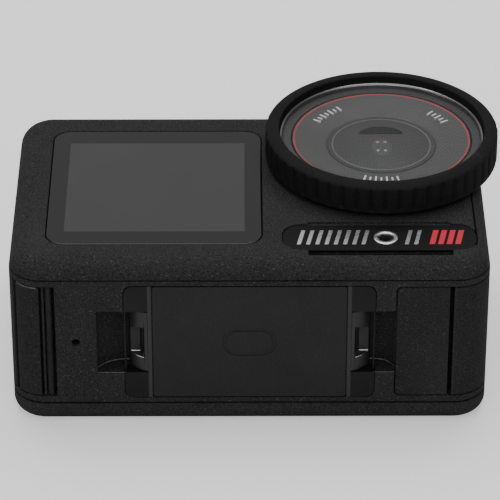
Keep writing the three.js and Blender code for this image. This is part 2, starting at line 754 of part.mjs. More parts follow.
camera.add(
  part("main_housing", mainHousing(), "bodyPlastic"),
  part("front_cover", frontCover(), "bodyPlastic"),
  part("rear_bezel", rearBezel(), "bodyPlastic"),
  part("front_screen_glass", frontScreenGlass(), "screenGlass"),
  part("front_display_panel", frontDisplayPanel(), "display"),
  part("rear_screen_glass", rearScreenGlass(), "screenGlass"),
  part("rear_display_panel", rearDisplayPanel(), "display"),
  part("name_plate", namePlate(), "plateBlack"),
);

const lens = new THREE.Group();
lens.position.set(LENS.x, LENS.y, 0);
lens.add(
  part("lens_mount_ring", lensMountRing(), "blackMetal"),
  part("lens_fascia", lensFascia(), "fascia"),
  part("lens_barrel", lensBarrel(), "blackMetal"),
  part("lens_front_element", lensFrontElement(), "clearGlass"),
  part("lens_middle_element", biconvex(6.6, 20.8, 22.6, 0.8), "clearGlass"),
  part("lens_rear_element", biconvex(5.6, 13.6, 15.2, 0.7), "clearGlass"),
  part("lens_bracket", lensBracket(), "steel"),
  part("infrared_filter", box(-5.4, 5.4, -4.2, 4.2, 9.9, 10.3), "clearGlass"),
  part("image_sensor", box(-6.5, 6.5, -5.2, 5.2, 8.75, 9.75), "chip"),
  part("sensor_board", box(-9.4, 7.9, -9.0, 8.0, 7.7, 8.6), "board"),
  part("lens_cover_ring", lensCoverRing(), "blackMetal"),
  part("lens_cover_glass", lensCoverGlass(), "clearGlass"),
  part("lens_cover_seal", lensCoverSeal(), "rubber"),
  part("rubber_lens_bumper", rubberBumper(), "rubber"),
);
camera.add(lens);

camera.add(
  part("battery_door_panel", batteryDoorPanel(), "coverPlastic"),
  part("battery_door_leaf", batteryDoorLeaf(), "coverPlastic"),
  part("battery_door_seal", batteryDoorSeal(), "rubber"),
  part("battery_latch", batteryLatch(), "smoothPlastic"),
  part("battery_hinge_pin", batteryHingePin(), "steel"),
  part("battery", battery(), "smoothPlastic"),
  part("battery_tray", batteryTray(), "steel"),
  part("battery_contacts", batteryContacts(), "gold"),
  part("card_socket", cardSocket(), "steel"),
  part("memory_card", memoryCard(), "chip"),
);

camera.add(
  part("usb_cover", usbCover(), "coverPlastic"),
  part("usb_cover_seal", usbCoverSeal(), "rubber"),
  part("usb_hinge_pin", usbHingePin(), "steel"),
  part("usb_hinge_panel", usbHingePanel(), "coverPlastic"),
  part("usb_socket", usbSocket(), "steel"),
);

camera.add(
  part("mount_plate", mountPlate(), "smoothPlastic"),
  part("mount_pad", mountPad(), "coverPlastic"),
  part("mount_claw_left", mountClaw(-1), "blackMetal"),
  part("mount_claw_right", mountClaw(1), "blackMetal"),
  part("magnet_left", magnet(-7), "steel"),
  part("magnet_right", magnet(7), "steel"),
);

camera.add(
  part("chassis_plate", chassisPlate(), "steel"),
  part("main_board", mainBoard(), "board"),
  part("processor", box(-19, -5, -7, 7, 22.3, 23.5), "chip"),
  part("heat_spreader", box(-26, 4, -14, 14, 23.75, 24.35), "steel"),
  part("speaker", speaker(), "chip"),
);

SCREW_PLACES.forEach(([x, y], i) => {
  const screw = part(`case_screw_${i + 1}`, caseScrew(), "steel");
  screw.position.set(x, y, 0);
  camera.add(screw);
});

const frontMic = new THREE.Group();
frontMic.position.set(FRONT_MIC.x, FRONT_MIC.y, 0);
frontMic.add(
  part("front_microphone", microphone(24.6, 26.0), "chip"),
  part("front_microphone_ring", microphoneRing(), "brightMetal"),
);
camera.add(frontMic);

const bottomMic = new THREE.Group();
bottomMic.position.set(BOTTOM_MIC.x, -HALF.y, BOTTOM_MIC.z);
bottomMic.rotation.x = Math.PI / 2; // the capsule's own +Z points out of the bottom face
bottomMic.add(part("bottom_microphone", microphone(-3.2, -1.8), "chip"));
camera.add(bottomMic);

const shutter = new THREE.Group();
shutter.position.set(SHUTTER.x, HALF.y, MID_Z);
shutter.rotation.x = -Math.PI / 2; // its own +Z points out of the top face
shutter.add(
  part("shutter_trim_ring", shutterTrimRing(), "red"),
  part("shutter_button", shutterButton(), "smoothPlastic"),
  part("shutter_switch", shutterSwitch(), "steel"),
);
camera.add(shutter);

const power = new THREE.Group();
power.position.set(HALF.x, POWER.y, MID_Z);
power.add(
  part("power_button", powerButton(), "smoothPlastic"),
  part("power_switch", powerSwitch(), "steel"),
);
camera.add(power);

export default camera;
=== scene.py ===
"""Looks of the action camera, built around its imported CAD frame.

Shapes are drawn in millimetres in the frame's axes (+Z out of the lens, -Y out of the
quick-release face) and scaled to metres when they are placed.
"""

import json
import math

import bmesh
import bpy
from mathutils import Matrix, Vector


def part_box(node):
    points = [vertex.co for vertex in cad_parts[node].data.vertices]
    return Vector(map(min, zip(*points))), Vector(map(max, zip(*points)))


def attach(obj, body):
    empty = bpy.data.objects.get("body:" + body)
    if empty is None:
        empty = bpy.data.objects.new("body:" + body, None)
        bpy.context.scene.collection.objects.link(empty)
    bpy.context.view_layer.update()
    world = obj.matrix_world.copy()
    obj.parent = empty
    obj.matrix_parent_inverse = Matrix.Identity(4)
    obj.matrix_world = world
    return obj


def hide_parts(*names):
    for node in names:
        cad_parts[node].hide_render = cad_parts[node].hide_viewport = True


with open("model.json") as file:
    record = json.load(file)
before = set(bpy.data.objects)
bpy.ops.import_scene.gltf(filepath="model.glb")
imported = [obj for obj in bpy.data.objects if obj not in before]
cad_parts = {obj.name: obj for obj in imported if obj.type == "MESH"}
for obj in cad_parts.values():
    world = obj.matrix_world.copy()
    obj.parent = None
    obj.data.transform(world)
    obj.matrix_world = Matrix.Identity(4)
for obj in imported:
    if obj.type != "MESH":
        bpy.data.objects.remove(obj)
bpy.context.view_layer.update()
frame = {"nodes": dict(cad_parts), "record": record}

MM = 0.001


def span(node):
    """Lowest and highest corner of a CAD node, in millimetres."""
    low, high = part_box(node)
    return low / MM, high / MM


def middle(node):
    low, high = span(node)
    return (low + high) / 2


# ------------------------------------------------------------ driving dimensions, from the frame

HOUSING = span("main_housing")
FRONT = span("front_cover")
REAR = span("rear_bezel")
HALF_X, HALF_Y = HOUSING[1].x, HOUSING[1].y
TOP = FRONT[1].z
CORNER = 5.0  # radius of the body's upright corners
FRONT_ROUND, REAR_ROUND = 3.2, 2.1  # radii of the front and rear rims
GAP = 0.15  # between a cover and the recess that it lies in
LEAF = span("battery_door_leaf")
DOOR_LOW, DOOR_HIGH = LEAF[0].z, LEAF[1].z
DOOR_DEPTH, DOOR_THICK = 2.0, 1.2  # depth of the doors' recess, and the doors' own thickness
MID_Z = middle("mount_plate").z
PLATE = span("mount_plate")
PAD = span("mount_pad")
CLAW = span("mount_claw_right")
PANEL = span("usb_hinge_panel")
SCREEN = span("front_screen_glass")
REAR_SCREEN = span("rear_screen_glass")
NAME = span("name_plate")
AXIS = middle("lens_fascia")
BUMPER = span("rubber_lens_bumper")
COVER = span("lens_cover_ring")
WINDOW = span("lens_cover_glass")
FASCIA = span("lens_fascia")
DOME = span("lens_front_element")
DOME_RISE = 1.05  # of the front element's face, from its rim to its crown
MIC = middle("front_microphone_ring")
SHUTTER = middle("shutter_button")
BATTERY_PIN = middle("battery_hinge_pin")
USB_PIN = middle("usb_hinge_pin")
USB_EDGE, USB_END = 29.85, 2.0  # where the USB door starts in X and ends in Y
BATTERY_EDGE, BATTERY_END = 30.75, 18.4  # the same for the battery door, measured towards -X
BATTERY_CLEAR = 28.47  # start of the battery door's recess
LEAF_SEAM, LEAF_GAP = -33.9, 4.0  # degrees round the corner: middle and half width of the gap
POCKET_LIP, POCKET_FLOOR = 1.4, 3.5  # depth of the claw pockets at their ends and at the claw
POCKET_LOW, POCKET_HIGH = CLAW[0].z - 0.2, CLAW[1].z + 0.2
POCKET_ENDS = {-1: 22.4, 1: PANEL[0].x - GAP}  # how far out each pocket reaches, by side
BEAD = 14.35  # inner edge of the bead that stands each side of the release pad
REVEAL = 0.08  # visible gap round the release plate, and each lip's reach into the front seam
SLIT_X = (8.6, 29.7)  # the slits below and above the name plate
SLIT_LOW, SLIT_HIGH = (-19.15, -17.6), (-10.8, -10.15)
LATCH_LOW, LATCH_HIGH = 13.2, 15.4  # the latch's slot in the battery door, in Z
SCREEN_CORNER, REAR_SCREEN_CORNER = 2.7, 2.6
NAME_CORNER = 2.8


# ------------------------------------------------------------ outlines, as lists of (u, v)

def arc(cu, cv, r, start, end, steps=10):
    angles = [math.radians(start + (end - start) * i / steps) for i in range(steps + 1)]
    return [(cu + r * math.cos(a), cv + r * math.sin(a)) for a in angles]


def rounded(u0, u1, v0, v1, r, steps=10):
    """A rectangle with round corners: r is one radius, or four from the lower right on."""
    radii = r if isinstance(r, tuple) else (r,) * 4
    corners = ((u1, v0, -1, 1, -90), (u1, v1, -1, -1, 0), (u0, v1, 1, -1, 90), (u0, v0, 1, 1, 180))
    points = []
    for (u, v, su, sv, start), radius in zip(corners, radii):
        if radius:
            points += arc(u + su * radius, v + sv * radius, radius, start, start + 90, steps)
        else:
            points.append((u, v))
    return points


def inset_rect(u0, u1, v0, v1, r, inset, steps=12):
    return rounded(u0 + inset, u1 - inset, v0 + inset, v1 - inset, r - inset, steps)


def flipped(points):
    """The same outline on -X."""
    return [(-u, v) for u, v in points]


def strip(start_x, start_angle, end_angle, end_y, outer, inner, steps=24):
    """Follows the body's lower right outline between two insets."""
    cu, cv = HALF_X - CORNER, -HALF_Y + CORNER
    out, back = [], []
    if start_x is not None and start_x < cu:
        out.append((start_x, -HALF_Y + outer))
        back.append((start_x, -HALF_Y + inner))
    start = start_angle
    if start_x is not None and start_x >= cu:
        start = -90 + math.degrees(math.asin((start_x - cu) / (CORNER - outer)))
    out += arc(cu, cv, CORNER - outer, start, end_angle, steps)
    back += arc(cu, cv, CORNER - inner, start, end_angle, steps)
    if end_y is not None:
        out.append((HALF_X - outer, end_y))
        back.append((HALF_X - inner, end_y))
    return out + back[::-1]


# ------------------------------------------------------------ meshes, in millimetres

AXES = {
    "Z": lambda u, v, w: (u, v, w),
    "Y": lambda u, v, w: (u, w, v),
    "X": lambda u, v, w: (w, u, v),
}


def new_object(bm):
    """An object of the finished bmesh. place() names it."""
    mesh = bpy.data.meshes.new("piece")
    bm.to_mesh(mesh)
    bm.free()
    obj = bpy.data.objects.new("piece", mesh)
    bpy.context.scene.collection.objects.link(obj)
    return obj


def solid(mesh_maker):
    bm = bmesh.new()
    mesh_maker(bm)
    bmesh.ops.recalc_face_normals(bm, faces=bm.faces)
    return new_object(bm)


def loft(rings):
    """A closed solid through rings of the same number of points."""
    def make(bm):
        rows = [[bm.verts.new(p) for p in ring] for ring in rings]
        count = len(rows[0])
        for a, b in zip(rows, rows[1:]):
            for i in range(count):
                j = (i + 1) % count
                bm.faces.new((a[i], a[j], b[j], b[i]))
        bm.faces.new(rows[0][::-1])
        bm.faces.new(rows[-1])
    return solid(make)


def along(axis, outline, start, end):
    """An outline drawn across an axis and extruded along it."""
    put = AXES[axis]
    return loft([[put(u, v, w) for u, v in outline] for w in (start, end)])


def block(x0, x1, y0, y1, z0, z1):
    return along("Z", rounded(x0, x1, y0, y1, 0), z0, z1)


def rod(axis, cu, cv, radius, start, end, sides=48):
    return along(axis, arc(cu, cv, radius, 0, 360, sides)[:-1], start, end)


def cushion_edge(axis, rect, start, end, rim, steps=4):
    """A rounded-rectangle plate (rect: u0, u1, v0, v1, r) with a round rim at its end."""
    put = AXES[axis]
    turn = 1 if end > start else -1
    levels = [(start, 0.0), (end - turn * rim, 0.0)]
    for i in range(1, steps + 1):
        a = math.radians(90 * i / steps)
        levels.append((end - turn * rim * (1 - math.sin(a)), rim * (1 - math.cos(a))))
    rings = [[put(u, v, w) for u, v in inset_rect(*rect, inset)] for w, inset in levels]
    return loft(rings)


def lathe(profile, segments=160, centre=None, radial=None):
    """A (radius, height) profile turned about the lens axis, or about centre. It closes on itself,
    or it starts and ends on the axis. radial(angle, radius, height) is added to the radius."""
    cx, cy = centre or (AXIS.x, AXIS.y)

    def make(bm):
        rows = []
        for r, z in profile:
            if r == 0:
                rows.append([bm.verts.new((cx, cy, z))])
                continue
            row = []
            for i in range(segments):
                a = 2 * math.pi * i / segments
                radius = r + (radial(a, r, z) if radial else 0)
                row.append(bm.verts.new((cx + radius * math.cos(a), cy + radius * math.sin(a), z)))
            rows.append(row)
        pairs = list(zip(rows, rows[1:]))
        if profile[0][0]:
            pairs.append((rows[-1], rows[0]))
        for a, b in pairs:
            for i in range(segments):
                j = (i + 1) % segments
                if len(a) == 1:
                    bm.faces.new((a[0], b[j], b[i]))
                elif len(b) == 1:
                    bm.faces.new((a[i], a[j], b[0]))
                else:
                    bm.faces.new((a[i], a[j], b[j], b[i]))
    return solid(make)


def applied(obj):
    """Bakes an object's modifiers into its mesh."""
    graph = bpy.context.evaluated_depsgraph_get()
    mesh = bpy.data.meshes.new_from_object(obj.evaluated_get(graph))
    obj.modifiers.clear()
    obj.data = mesh
    return obj


def carve(base, *cutters):
    """Cuts every cutter out of base, and removes the cutters."""
    for cutter in cutters:
        boolean = base.modifiers.new("cut", "BOOLEAN")
        boolean.operation = "DIFFERENCE"
        boolean.solver = "MANIFOLD"
        boolean.object = cutter
    applied(base)
    for cutter in cutters:
        bpy.data.objects.remove(cutter)
    return base


def edged(obj, width=0.1, segments=2):
    """Rounds every edge sharper than 32 degrees."""
    bevel = obj.modifiers.new("edge", "BEVEL")
    bevel.width = width
    bevel.segments = segments
    bevel.limit_method = "ANGLE"
    bevel.angle_limit = math.radians(32)
    bevel.miter_outer = "MITER_ARC"
    bevel.use_clamp_overlap = False
    return applied(obj)


def joined(*objects):
    """One object that holds the meshes of all of them."""
    bm = bmesh.new()
    for obj in objects:
        bm.from_mesh(obj.data)
        bpy.data.objects.remove(obj)
    return new_object(bm)


def place(obj, name, body, slot, material, *nodes, smooth=40):
    """Scales a finished piece to metres, gives it its material and hands it to the frame."""
    obj.name = name
    obj.data.name = name
    obj.data.transform(Matrix.Scale(MM, 4))
    obj.data.polygons.foreach_set("use_smooth", [True] * len(obj.data.polygons))
    obj.data.set_sharp_from_angle(angle=math.radians(smooth))
    weighted = obj.modifiers.new("normals", "WEIGHTED_NORMAL")
    weighted.keep_sharp = True
    applied(obj)
    obj.data.materials.clear()
    obj.data.materials.append(material)
    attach(obj, body)
    if nodes:
        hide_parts(*nodes)
    return obj


# ------------------------------------------------------------ materials

WHITE = (1.0, 1.0, 1.0)
RAMP_SOCKETS = ("From Min", "From Max", "To Min", "To Max")


def grey(value, tint=WHITE):
    """A colour of the given brightness, times a tint."""
    return tuple(value * t for t in tint) + (1.0,)


class Nodes:
    """A material's node tree, with a short way to add and link nodes."""

    def __init__(self, name):
        self.material = bpy.data.materials.new(name)
        self.material.use_nodes = True
        self.tree = self.material.node_tree
        self.shader = self.tree.nodes["Principled BSDF"]
        self.place = self.add("ShaderNodeTexCoord").outputs["Object"]

    def add(self, kind, **settings):
        node = self.tree.nodes.new(kind)
        for key, value in settings.items():
            setattr(node, key, value)
        return node

    def link(self, output, socket):
        self.tree.links.new(output, socket)

    def noise(self, size_mm, detail=3.0, rough=0.55):
        """Noise with features of about size_mm, from 0 to 1."""
        node = self.add("ShaderNodeTexNoise")
        self.link(self.place, node.inputs["Vector"])
        node.inputs["Scale"].default_value = 1 / (size_mm * MM)
        node.inputs["Detail"].default_value = detail
        node.inputs["Roughness"].default_value = rough
        return node.outputs["Fac"]

    def ramp(self, source, low, high, start, end):
        """Goes from start to end while source goes from low to high."""
        node = self.add("ShaderNodeMapRange")
        self.link(source, node.inputs["Value"])
        for key, value in zip(RAMP_SOCKETS, (low, high, start, end)):
            node.inputs[key].default_value = value
        return node.outputs["Result"]

    def mix(self, factor, a, b):
        """Blends colours a and b, each a colour or an output."""
        node = self.add("ShaderNodeMix", data_type="RGBA")
        self.link(factor, node.inputs["Factor"])
        for socket, value in ((node.inputs[6], a), (node.inputs[7], b)):
            if isinstance(value, tuple):
                socket.default_value = value
            else:
                self.link(value, socket)
        return node.outputs[2]

    def bump(self, height, strength, distance_mm):
        node = self.add("ShaderNodeBump")
        self.link(height, node.inputs["Height"])
        node.inputs["Strength"].default_value = strength
        node.inputs["Distance"].default_value = distance_mm * MM
        return node.outputs["Normal"]


def moulded(name, tone, rough, grain=0.3, relief=0.3, contrast=0.25, specks=0.5, wear=0.0,
            metal=0.0, specular=0.3, tint=WHITE):
    """Moulded plastic, rubber or bead-blasted metal: spark-eroded grain (its size in millimetres),
    faint mottling, pale specks on the grain's peaks, uneven roughness and rubbed edges."""
    n = Nodes(name)
    darker, paler = 0.93, 1.07  # of the tone, in the mottling
    mottle = n.ramp(n.noise(6.0, 4), 0.3, 0.7, 0.0, 1.0)
    plain = n.mix(mottle, grey(tone * darker, tint), grey(tone * paler, tint))
    pits = n.noise(grain, 2.5, 0.7)
    dark = n.mix(mottle, grey(tone * (darker - contrast), tint), grey(tone * (paler - contrast), tint))
    colour = n.mix(n.ramp(pits, 0.36, 0.52, 0.0, 1.0), dark, plain)
    if specks:
        dust = n.ramp(n.noise(grain * 0.9, 1.5), 0.61, 0.75, 0.0, specks)
        colour = n.mix(dust, colour, grey(min(tone * 2.6 + 0.01, 1.0), tint))
    if wear:
        edge = n.add("ShaderNodeNewGeometry").outputs["Pointiness"]
        rubbed = n.ramp(edge, 0.53, 0.62, 0.0, wear)
        colour = n.mix(rubbed, colour, grey(min(tone * 2.4 + 0.02, 1.0), tint))
    n.link(colour, n.shader.inputs["Base Color"])
    uneven = 0.06
    gloss = n.ramp(n.noise(9.0, 5), 0.3, 0.7, rough - uneven, rough + uneven)
    n.link(gloss, n.shader.inputs["Roughness"])
    n.link(n.bump(pits, relief, grain * 0.35), n.shader.inputs["Normal"])
    n.shader.inputs["Metallic"].default_value = metal
    n.shader.inputs["Specular IOR Level"].default_value = specular
    return n.material


def brushed(name, tone, rough, tint=WHITE):
    """Rolled or turned metal with fine drawn lines."""
    n = Nodes(name)
    lines_per_metre = 900
    mapping = n.add("ShaderNodeMapping")
    n.link(n.place, mapping.inputs["Vector"])
    mapping.inputs["Scale"].default_value = (1.0, 14.0, 1.0)
    lines = n.add("ShaderNodeTexNoise")
    n.link(mapping.outputs["Vector"], lines.inputs["Vector"])
    lines.inputs["Scale"].default_value = lines_per_metre
    lines.inputs["Detail"].default_value = 4
    fac = lines.outputs["Fac"]
    n.link(n.mix(fac, grey(tone * 0.8, tint), grey(tone * 1.15, tint)), n.shader.inputs["Base Color"])
    n.link(n.ramp(fac, 0.3, 0.7, rough - 0.07, rough + 0.09), n.shader.inputs["Roughness"])
    n.link(n.bump(fac, 0.15, 0.02), n.shader.inputs["Normal"])
    n.shader.inputs["Metallic"].default_value = 1.0
    return n.material


def box_mask(n, x0, x1, y0, y1, soft):
    """1 inside a rectangle in X and Y (millimetres), 0 outside it."""
    split = n.add("ShaderNodeSeparateXYZ")
    n.link(n.place, split.inputs["Vector"])
    product = None
    for output, low, high in ((split.outputs["X"], x0, x1), (split.outputs["Y"], y0, y1)):
        for edge, start, end in ((low, 0.0, 1.0), (high, 1.0, 0.0)):
            step = n.ramp(output, (edge - soft) * MM, (edge + soft) * MM, start, end)
            if product is None:
                product = step
                continue
            times = n.add("ShaderNodeMath", operation="MULTIPLY")
            n.link(product, times.inputs[0])
            n.link(step, times.inputs[1])
            product = times.outputs[0]
    return product


def display_glass(name, border, active, rect):
    """Black-backed glass. The display's area (rect: x0, x1, y0, y1) is paler than its border."""
    n = Nodes(name)
    smear = n.ramp(n.noise(14.0, 4), 0.35, 0.7, 0.0, 1.0)
    mask = box_mask(n, *rect, 0.04)
    shade = n.mix(smear, active, tuple(c * 0.9 for c in active[:3]) + (1.0,))
    n.link(n.mix(mask, border, shade), n.shader.inputs["Base Color"])
    n.link(n.ramp(n.noise(7.0, 6, 0.7), 0.35, 0.75, 0.06, 0.13), n.shader.inputs["Roughness"])
    n.link(n.bump(n.noise(3.0, 2), 0.02, 0.05), n.shader.inputs["Normal"])
    n.shader.inputs["Specular IOR Level"].default_value = 0.42
    return n.material


def clear_glass(name, tone, opacity, rough=0.03, coat=WHITE, specular=0.5):
    """Coated glass with faint smears, clear where opacity is below 1."""
    n = Nodes(name)
    n.shader.inputs["Base Color"].default_value = grey(tone, coat)
    n.link(n.ramp(n.noise(6.0, 5), 0.35, 0.75, rough, rough + 0.05), n.shader.inputs["Roughness"])
    if opacity < 1:
        smear = n.ramp(n.noise(4.0, 4), 0.3, 0.8, opacity, opacity + 0.03)
        n.link(smear, n.shader.inputs["Alpha"])
    n.shader.inputs["Specular IOR Level"].default_value = specular
    return n.material


# plastics and rubber
BODY_PLASTIC = moulded(
    "body_plastic", 0.034, 0.8, grain=0.28, relief=0.8, contrast=0.55, specks=0.9, wear=0.06, specular=0.08)
COVER_PLASTIC = moulded(
    "cover_plastic", 0.027, 0.75, grain=0.26, relief=0.7, contrast=0.5, specks=0.8, wear=0.12, specular=0.1)
# a paler copy of the body plastic: painted light, standing in for light bounced up from the floor onto the
# rear shell
REAR_LIT_PLASTIC = moulded(
    "rear_lit_plastic", 0.037, 0.8, relief=0.6, contrast=0.4, specks=0.8, wear=0.06, specular=0.08)
PAD_PLASTIC = moulded("pad_plastic", 0.0175, 0.6, grain=0.2, contrast=0.3, specks=0.3, wear=0.12)
BEAD_PLASTIC = moulded("bead_plastic", 0.026, 0.4, relief=0.08, contrast=0.08, specks=0.1, wear=0.2)
SMOOTH_PLASTIC = moulded(
    "smooth_plastic", 0.0085, 0.5, relief=0.08, contrast=0.08, specks=0.1, wear=0.2, specular=0.2)
PLATE_BLACK = moulded("plate_black", 0.007, 0.5, relief=0.08, contrast=0.1, specks=0.2, specular=0.12)
# pale plastic for painted highlights along upward-facing edges of the battery leaf and the claw pockets
HIGHLIGHT_PLASTIC = moulded("painted_highlight_plastic", 0.16, 0.4, grain=0.4, contrast=0.6, specks=0.8)
RUBBER = moulded("rubber", 0.015, 0.8, contrast=0.2, specks=0.3, wear=0.15, specular=0.09)

# screens
GREENISH = (0.95, 1.0, 0.95)
SCREEN_GLASS = display_glass("screen_glass", grey(0.011), grey(0.044, GREENISH), (-27.3, -0.7, -12.7, 12.5))
REAR_GLASS = display_glass(
    "rear_screen_glass", grey(0.011), grey(0.03, GREENISH), (-28.5, 28.5, -15.6, 16.2))
DISPLAY = moulded("display", 0.06, 0.3, relief=0.02, contrast=0.05, specks=0.0)

# lens: the last four are reflections in the front element
CLEAR_GLASS = clear_glass("clear_glass", 0.13, 0.08)
# the front element's grey is partly a painted reflection of the surroundings in the window
ELEMENT_GLASS = clear_glass("element_glass", 0.063, 1.0, rough=0.4, coat=(0.98, 1.0, 0.99), specular=0.2)
SEAT_METAL = moulded("seat_metal", 0.05, 0.5, relief=0.05, contrast=0.05, specks=0.1)
# the fascia's colour is its own dark tone lightened by a painted reflection of the surroundings in the
# window
FASCIA_TONE_AND_REFLECTION = moulded("fascia", 0.084, 0.5, relief=0.05, contrast=0.05, specks=0.1)
RIM_GLASS = moulded("rim_glass", 0.16, 0.4, relief=0.02, contrast=0.05, specks=0.0)
SHADE_GLASS = moulded(
    "shade_glass", 0.025, 0.6, relief=0.02, contrast=0.05, specks=0.0, specular=0.05)
GLOW_GLASS = moulded("glow_glass", 0.078, 0.4, relief=0.02, contrast=0.05, specks=0.0)
GLINT_RED = moulded("glint_red", 0.6, 0.4, relief=0.02, contrast=0.05, specks=0.0, tint=(1.0, 0.3, 0.35))
GLINT_WHITE = moulded("glint_white", 0.45, 0.4, relief=0.02, contrast=0.05, specks=0.0)

# metals
BLACK_METAL = moulded("black_metal", 0.04, 0.36, relief=0.1, contrast=0.1, specks=0.1, wear=0.3, metal=0.8)
COVER_METAL = moulded("cover_metal", 0.4, 0.22, relief=0.02, contrast=0.05, specks=0.1, metal=1.0)
# a dark copy of the cover ring's metal: painted shade on the ring below the window's ledge
COVER_PAINTED_SHADE = moulded("cover_painted_shade", 0.05, 0.5, relief=0.05, contrast=0.1, specks=0.1)
CLAW_METAL = moulded(
    "claw_metal", 0.037, 0.5, relief=0.06, contrast=0.08, specks=0.1, wear=0.3, specular=0.25)
BRIGHT_METAL = brushed("bright_metal", 0.75, 0.3)
# pale metal for painted highlights along the claws' notch edges
HIGHLIGHT_METAL = brushed("painted_highlight_metal", 0.9, 0.3)
STEEL = brushed("steel", 0.45, 0.33)
GOLD = brushed("gold", 0.55, 0.3, tint=(1.0, 0.75, 0.3))

# boards, chips and print
BOARD = moulded("board", 0.09, 0.5, grain=0.6, relief=0.1, specks=0.3, tint=(0.15, 1.0, 0.45))
CHIP = moulded("chip", 0.012, 0.5, relief=0.15, specks=0.3)
RED = moulded("red", 0.42, 0.4, relief=0.05, contrast=0.08, specks=0.0, tint=(1.0, 0.05, 0.09))
RING_PRINT = moulded(
    "ring_print", 0.45, 0.5, relief=0.02, contrast=0.05, specks=0.0, tint=(1.0, 0.14, 0.18))
RED_PRINT = moulded(
    "red_print", 0.62, 0.5, relief=0.05, contrast=0.05, specks=0.0, tint=(1.0, 0.04, 0.075))
PRINT = moulded("print", 0.9, 0.5, relief=0.05, contrast=0.05, specks=0.0)

BY_SLOT = {
    "body_plastic": BODY_PLASTIC, "cover_plastic": COVER_PLASTIC, "smooth_plastic": SMOOTH_PLASTIC,
    "plate_black": PLATE_BLACK, "rubber": RUBBER, "screen_glass": REAR_GLASS, "display": DISPLAY,
    "clear_glass": ELEMENT_GLASS, "fascia": FASCIA_TONE_AND_REFLECTION, "black_metal": BLACK_METAL,
    "bright_metal": BRIGHT_METAL, "steel": STEEL, "board": BOARD, "chip": CHIP, "gold": GOLD,
    "red": RED,
}
# a CAD node that no piece replaces keeps its shape and gets its slot's material
for subpart in frame["record"]["subparts"]:
    node = frame["nodes"][subpart["node"]]
    node.data.materials.clear()
    node.data.materials.append(BY_SLOT[subpart["material_slot"]])


# ------------------------------------------------------------ outer shells

def body_ring(z, inset):
    """The body's outline at height z, drawn in by inset."""
    outline = inset_rect(-HALF_X, HALF_X, -HALF_Y, HALF_Y, CORNER, inset, 16)
    return [(x, y, z) for x, y in outline]


def round_rim(low, high, radius, centre, sign, steps=12):
    """Body rings over a rim of the given radius, from height low to height high."""
    rings = []
    a0 = math.asin(max(-1.0, min(1.0, sign * (low - centre) / radius)))
    a1 = math.asin(max(-1.0, min(1.0, sign * (high - centre) / radius)))
    for i in range(steps + 1):
        a = a0 + (a1 - a0) * i / steps
        rings.append(body_ring(centre + sign * radius * math.sin(a), radius * (1 - math.cos(a))))
    return rings


def front_cover():
    shell = loft(round_rim(FRONT[0].z - REVEAL, TOP, FRONT_ROUND, TOP - FRONT_ROUND, 1))
    (sx0, sy0, _), (sx1, sy1, _) = SCREEN
    (nx0, ny0, _), (nx1, ny1, _) = NAME
    below, above = 20, 30
    rim, ledge, edge = 0.12, 1.1, 0.1  # round the glass, under its border, round the name plate
    screen_bed, roof, name_bed = SCREEN[0].z - 0.13, 26.2, 27.0
    lens_hole, microphone_hole = 11.8, 1.0
    screen_rim = (sx0 - rim, sx1 + rim, sy0 - rim, sy1 + rim)
    name_edge = (nx0 - edge, nx1 + edge, ny0 - edge, ny1 + edge)
    slits = [
        along("Z", rounded(*SLIT_X, *rows, 0.3, 6), floor, above)
        for rows, floor in ((SLIT_LOW, 26.4), (SLIT_HIGH, 27.3))
    ]
    carve(
        shell,
        along("Z", rounded(*screen_rim, SCREEN_CORNER + rim), screen_bed, above),
        along("Z", rounded(sx0 + ledge, sx1 - ledge, sy0 + ledge, sy1 - ledge, 1.2), below, above),
        along("Z", rounded(-32.2, 32.2, -19.2, 19.2, 2.4), below, roof),
        along("Z", rounded(*name_edge, NAME_CORNER + edge), name_bed, above),
        *slits,
        rod("Z", AXIS.x, AXIS.y, lens_hole, below, above, 96),
        rod("Z", MIC.x, MIC.y, microphone_hole, below, above, 32),
    )
    place(edged(shell, 0.12, 3), "front_shell", "camera_body", "body_plastic", BODY_PLASTIC, "front_cover")


def rear_bezel():
    high = REAR[1].z
    shell = loft(round_rim(0.0, high - 1.25, REAR_ROUND, REAR_ROUND, -1) + [body_ring(high, 0.0)])
    (x0, y0, _), (x1, y1, glass) = REAR_SCREEN
    below, above = -1, 5
    corner = REAR_SCREEN_CORNER
    wide, ledge = 0.15, 1.3  # round the glass, and under its border
    carve(
        shell,
        along("Z", rounded(x0 - wide, x1 + wide, y0 - wide, y1 + wide, corner), below, glass + 0.15),
        along("Z", rounded(x0 + ledge, x1 - ledge, y0 + ledge, y1 - ledge, 1.4), below, above),
        along("Z", rounded(-33.3, 33.3, -20.2, 20.2, 2.8), 1.9, above),
    )
    # the rear shell takes the paler copy: painted light from the floor
    place(edged(shell, 0.12, 3), "rear_shell", "camera_body", "body_plastic", REAR_LIT_PLASTIC, "rear_bezel")


POCKET_STEPS = 14


def claw_pocket(outer):
    """Outline of a pocket on +X beside a claw. Its floor scoops down from outer to the claw."""
    floor, lip, outside = -HALF_Y + POCKET_FLOOR, -HALF_Y + POCKET_LIP, -HALF_Y - 1
    end = CLAW[1].x
    (u0, v0), (u1, v1), (u2, v2) = (outer, lip), (end + 2.95, floor + 0.25), (end, floor)
    curve = []
    for i in range(POCKET_STEPS + 1):
        t = i / POCKET_STEPS
        a, b, c = (1 - t) ** 2, 2 * t * (1 - t), t * t
        curve.append((a * u0 + b * u1 + c * u2, a * v0 + b * v1 + c * v2))
    inner = CLAW[0].x - GAP
    return [(outer, outside)] + curve + [(inner, floor), (inner, outside)]


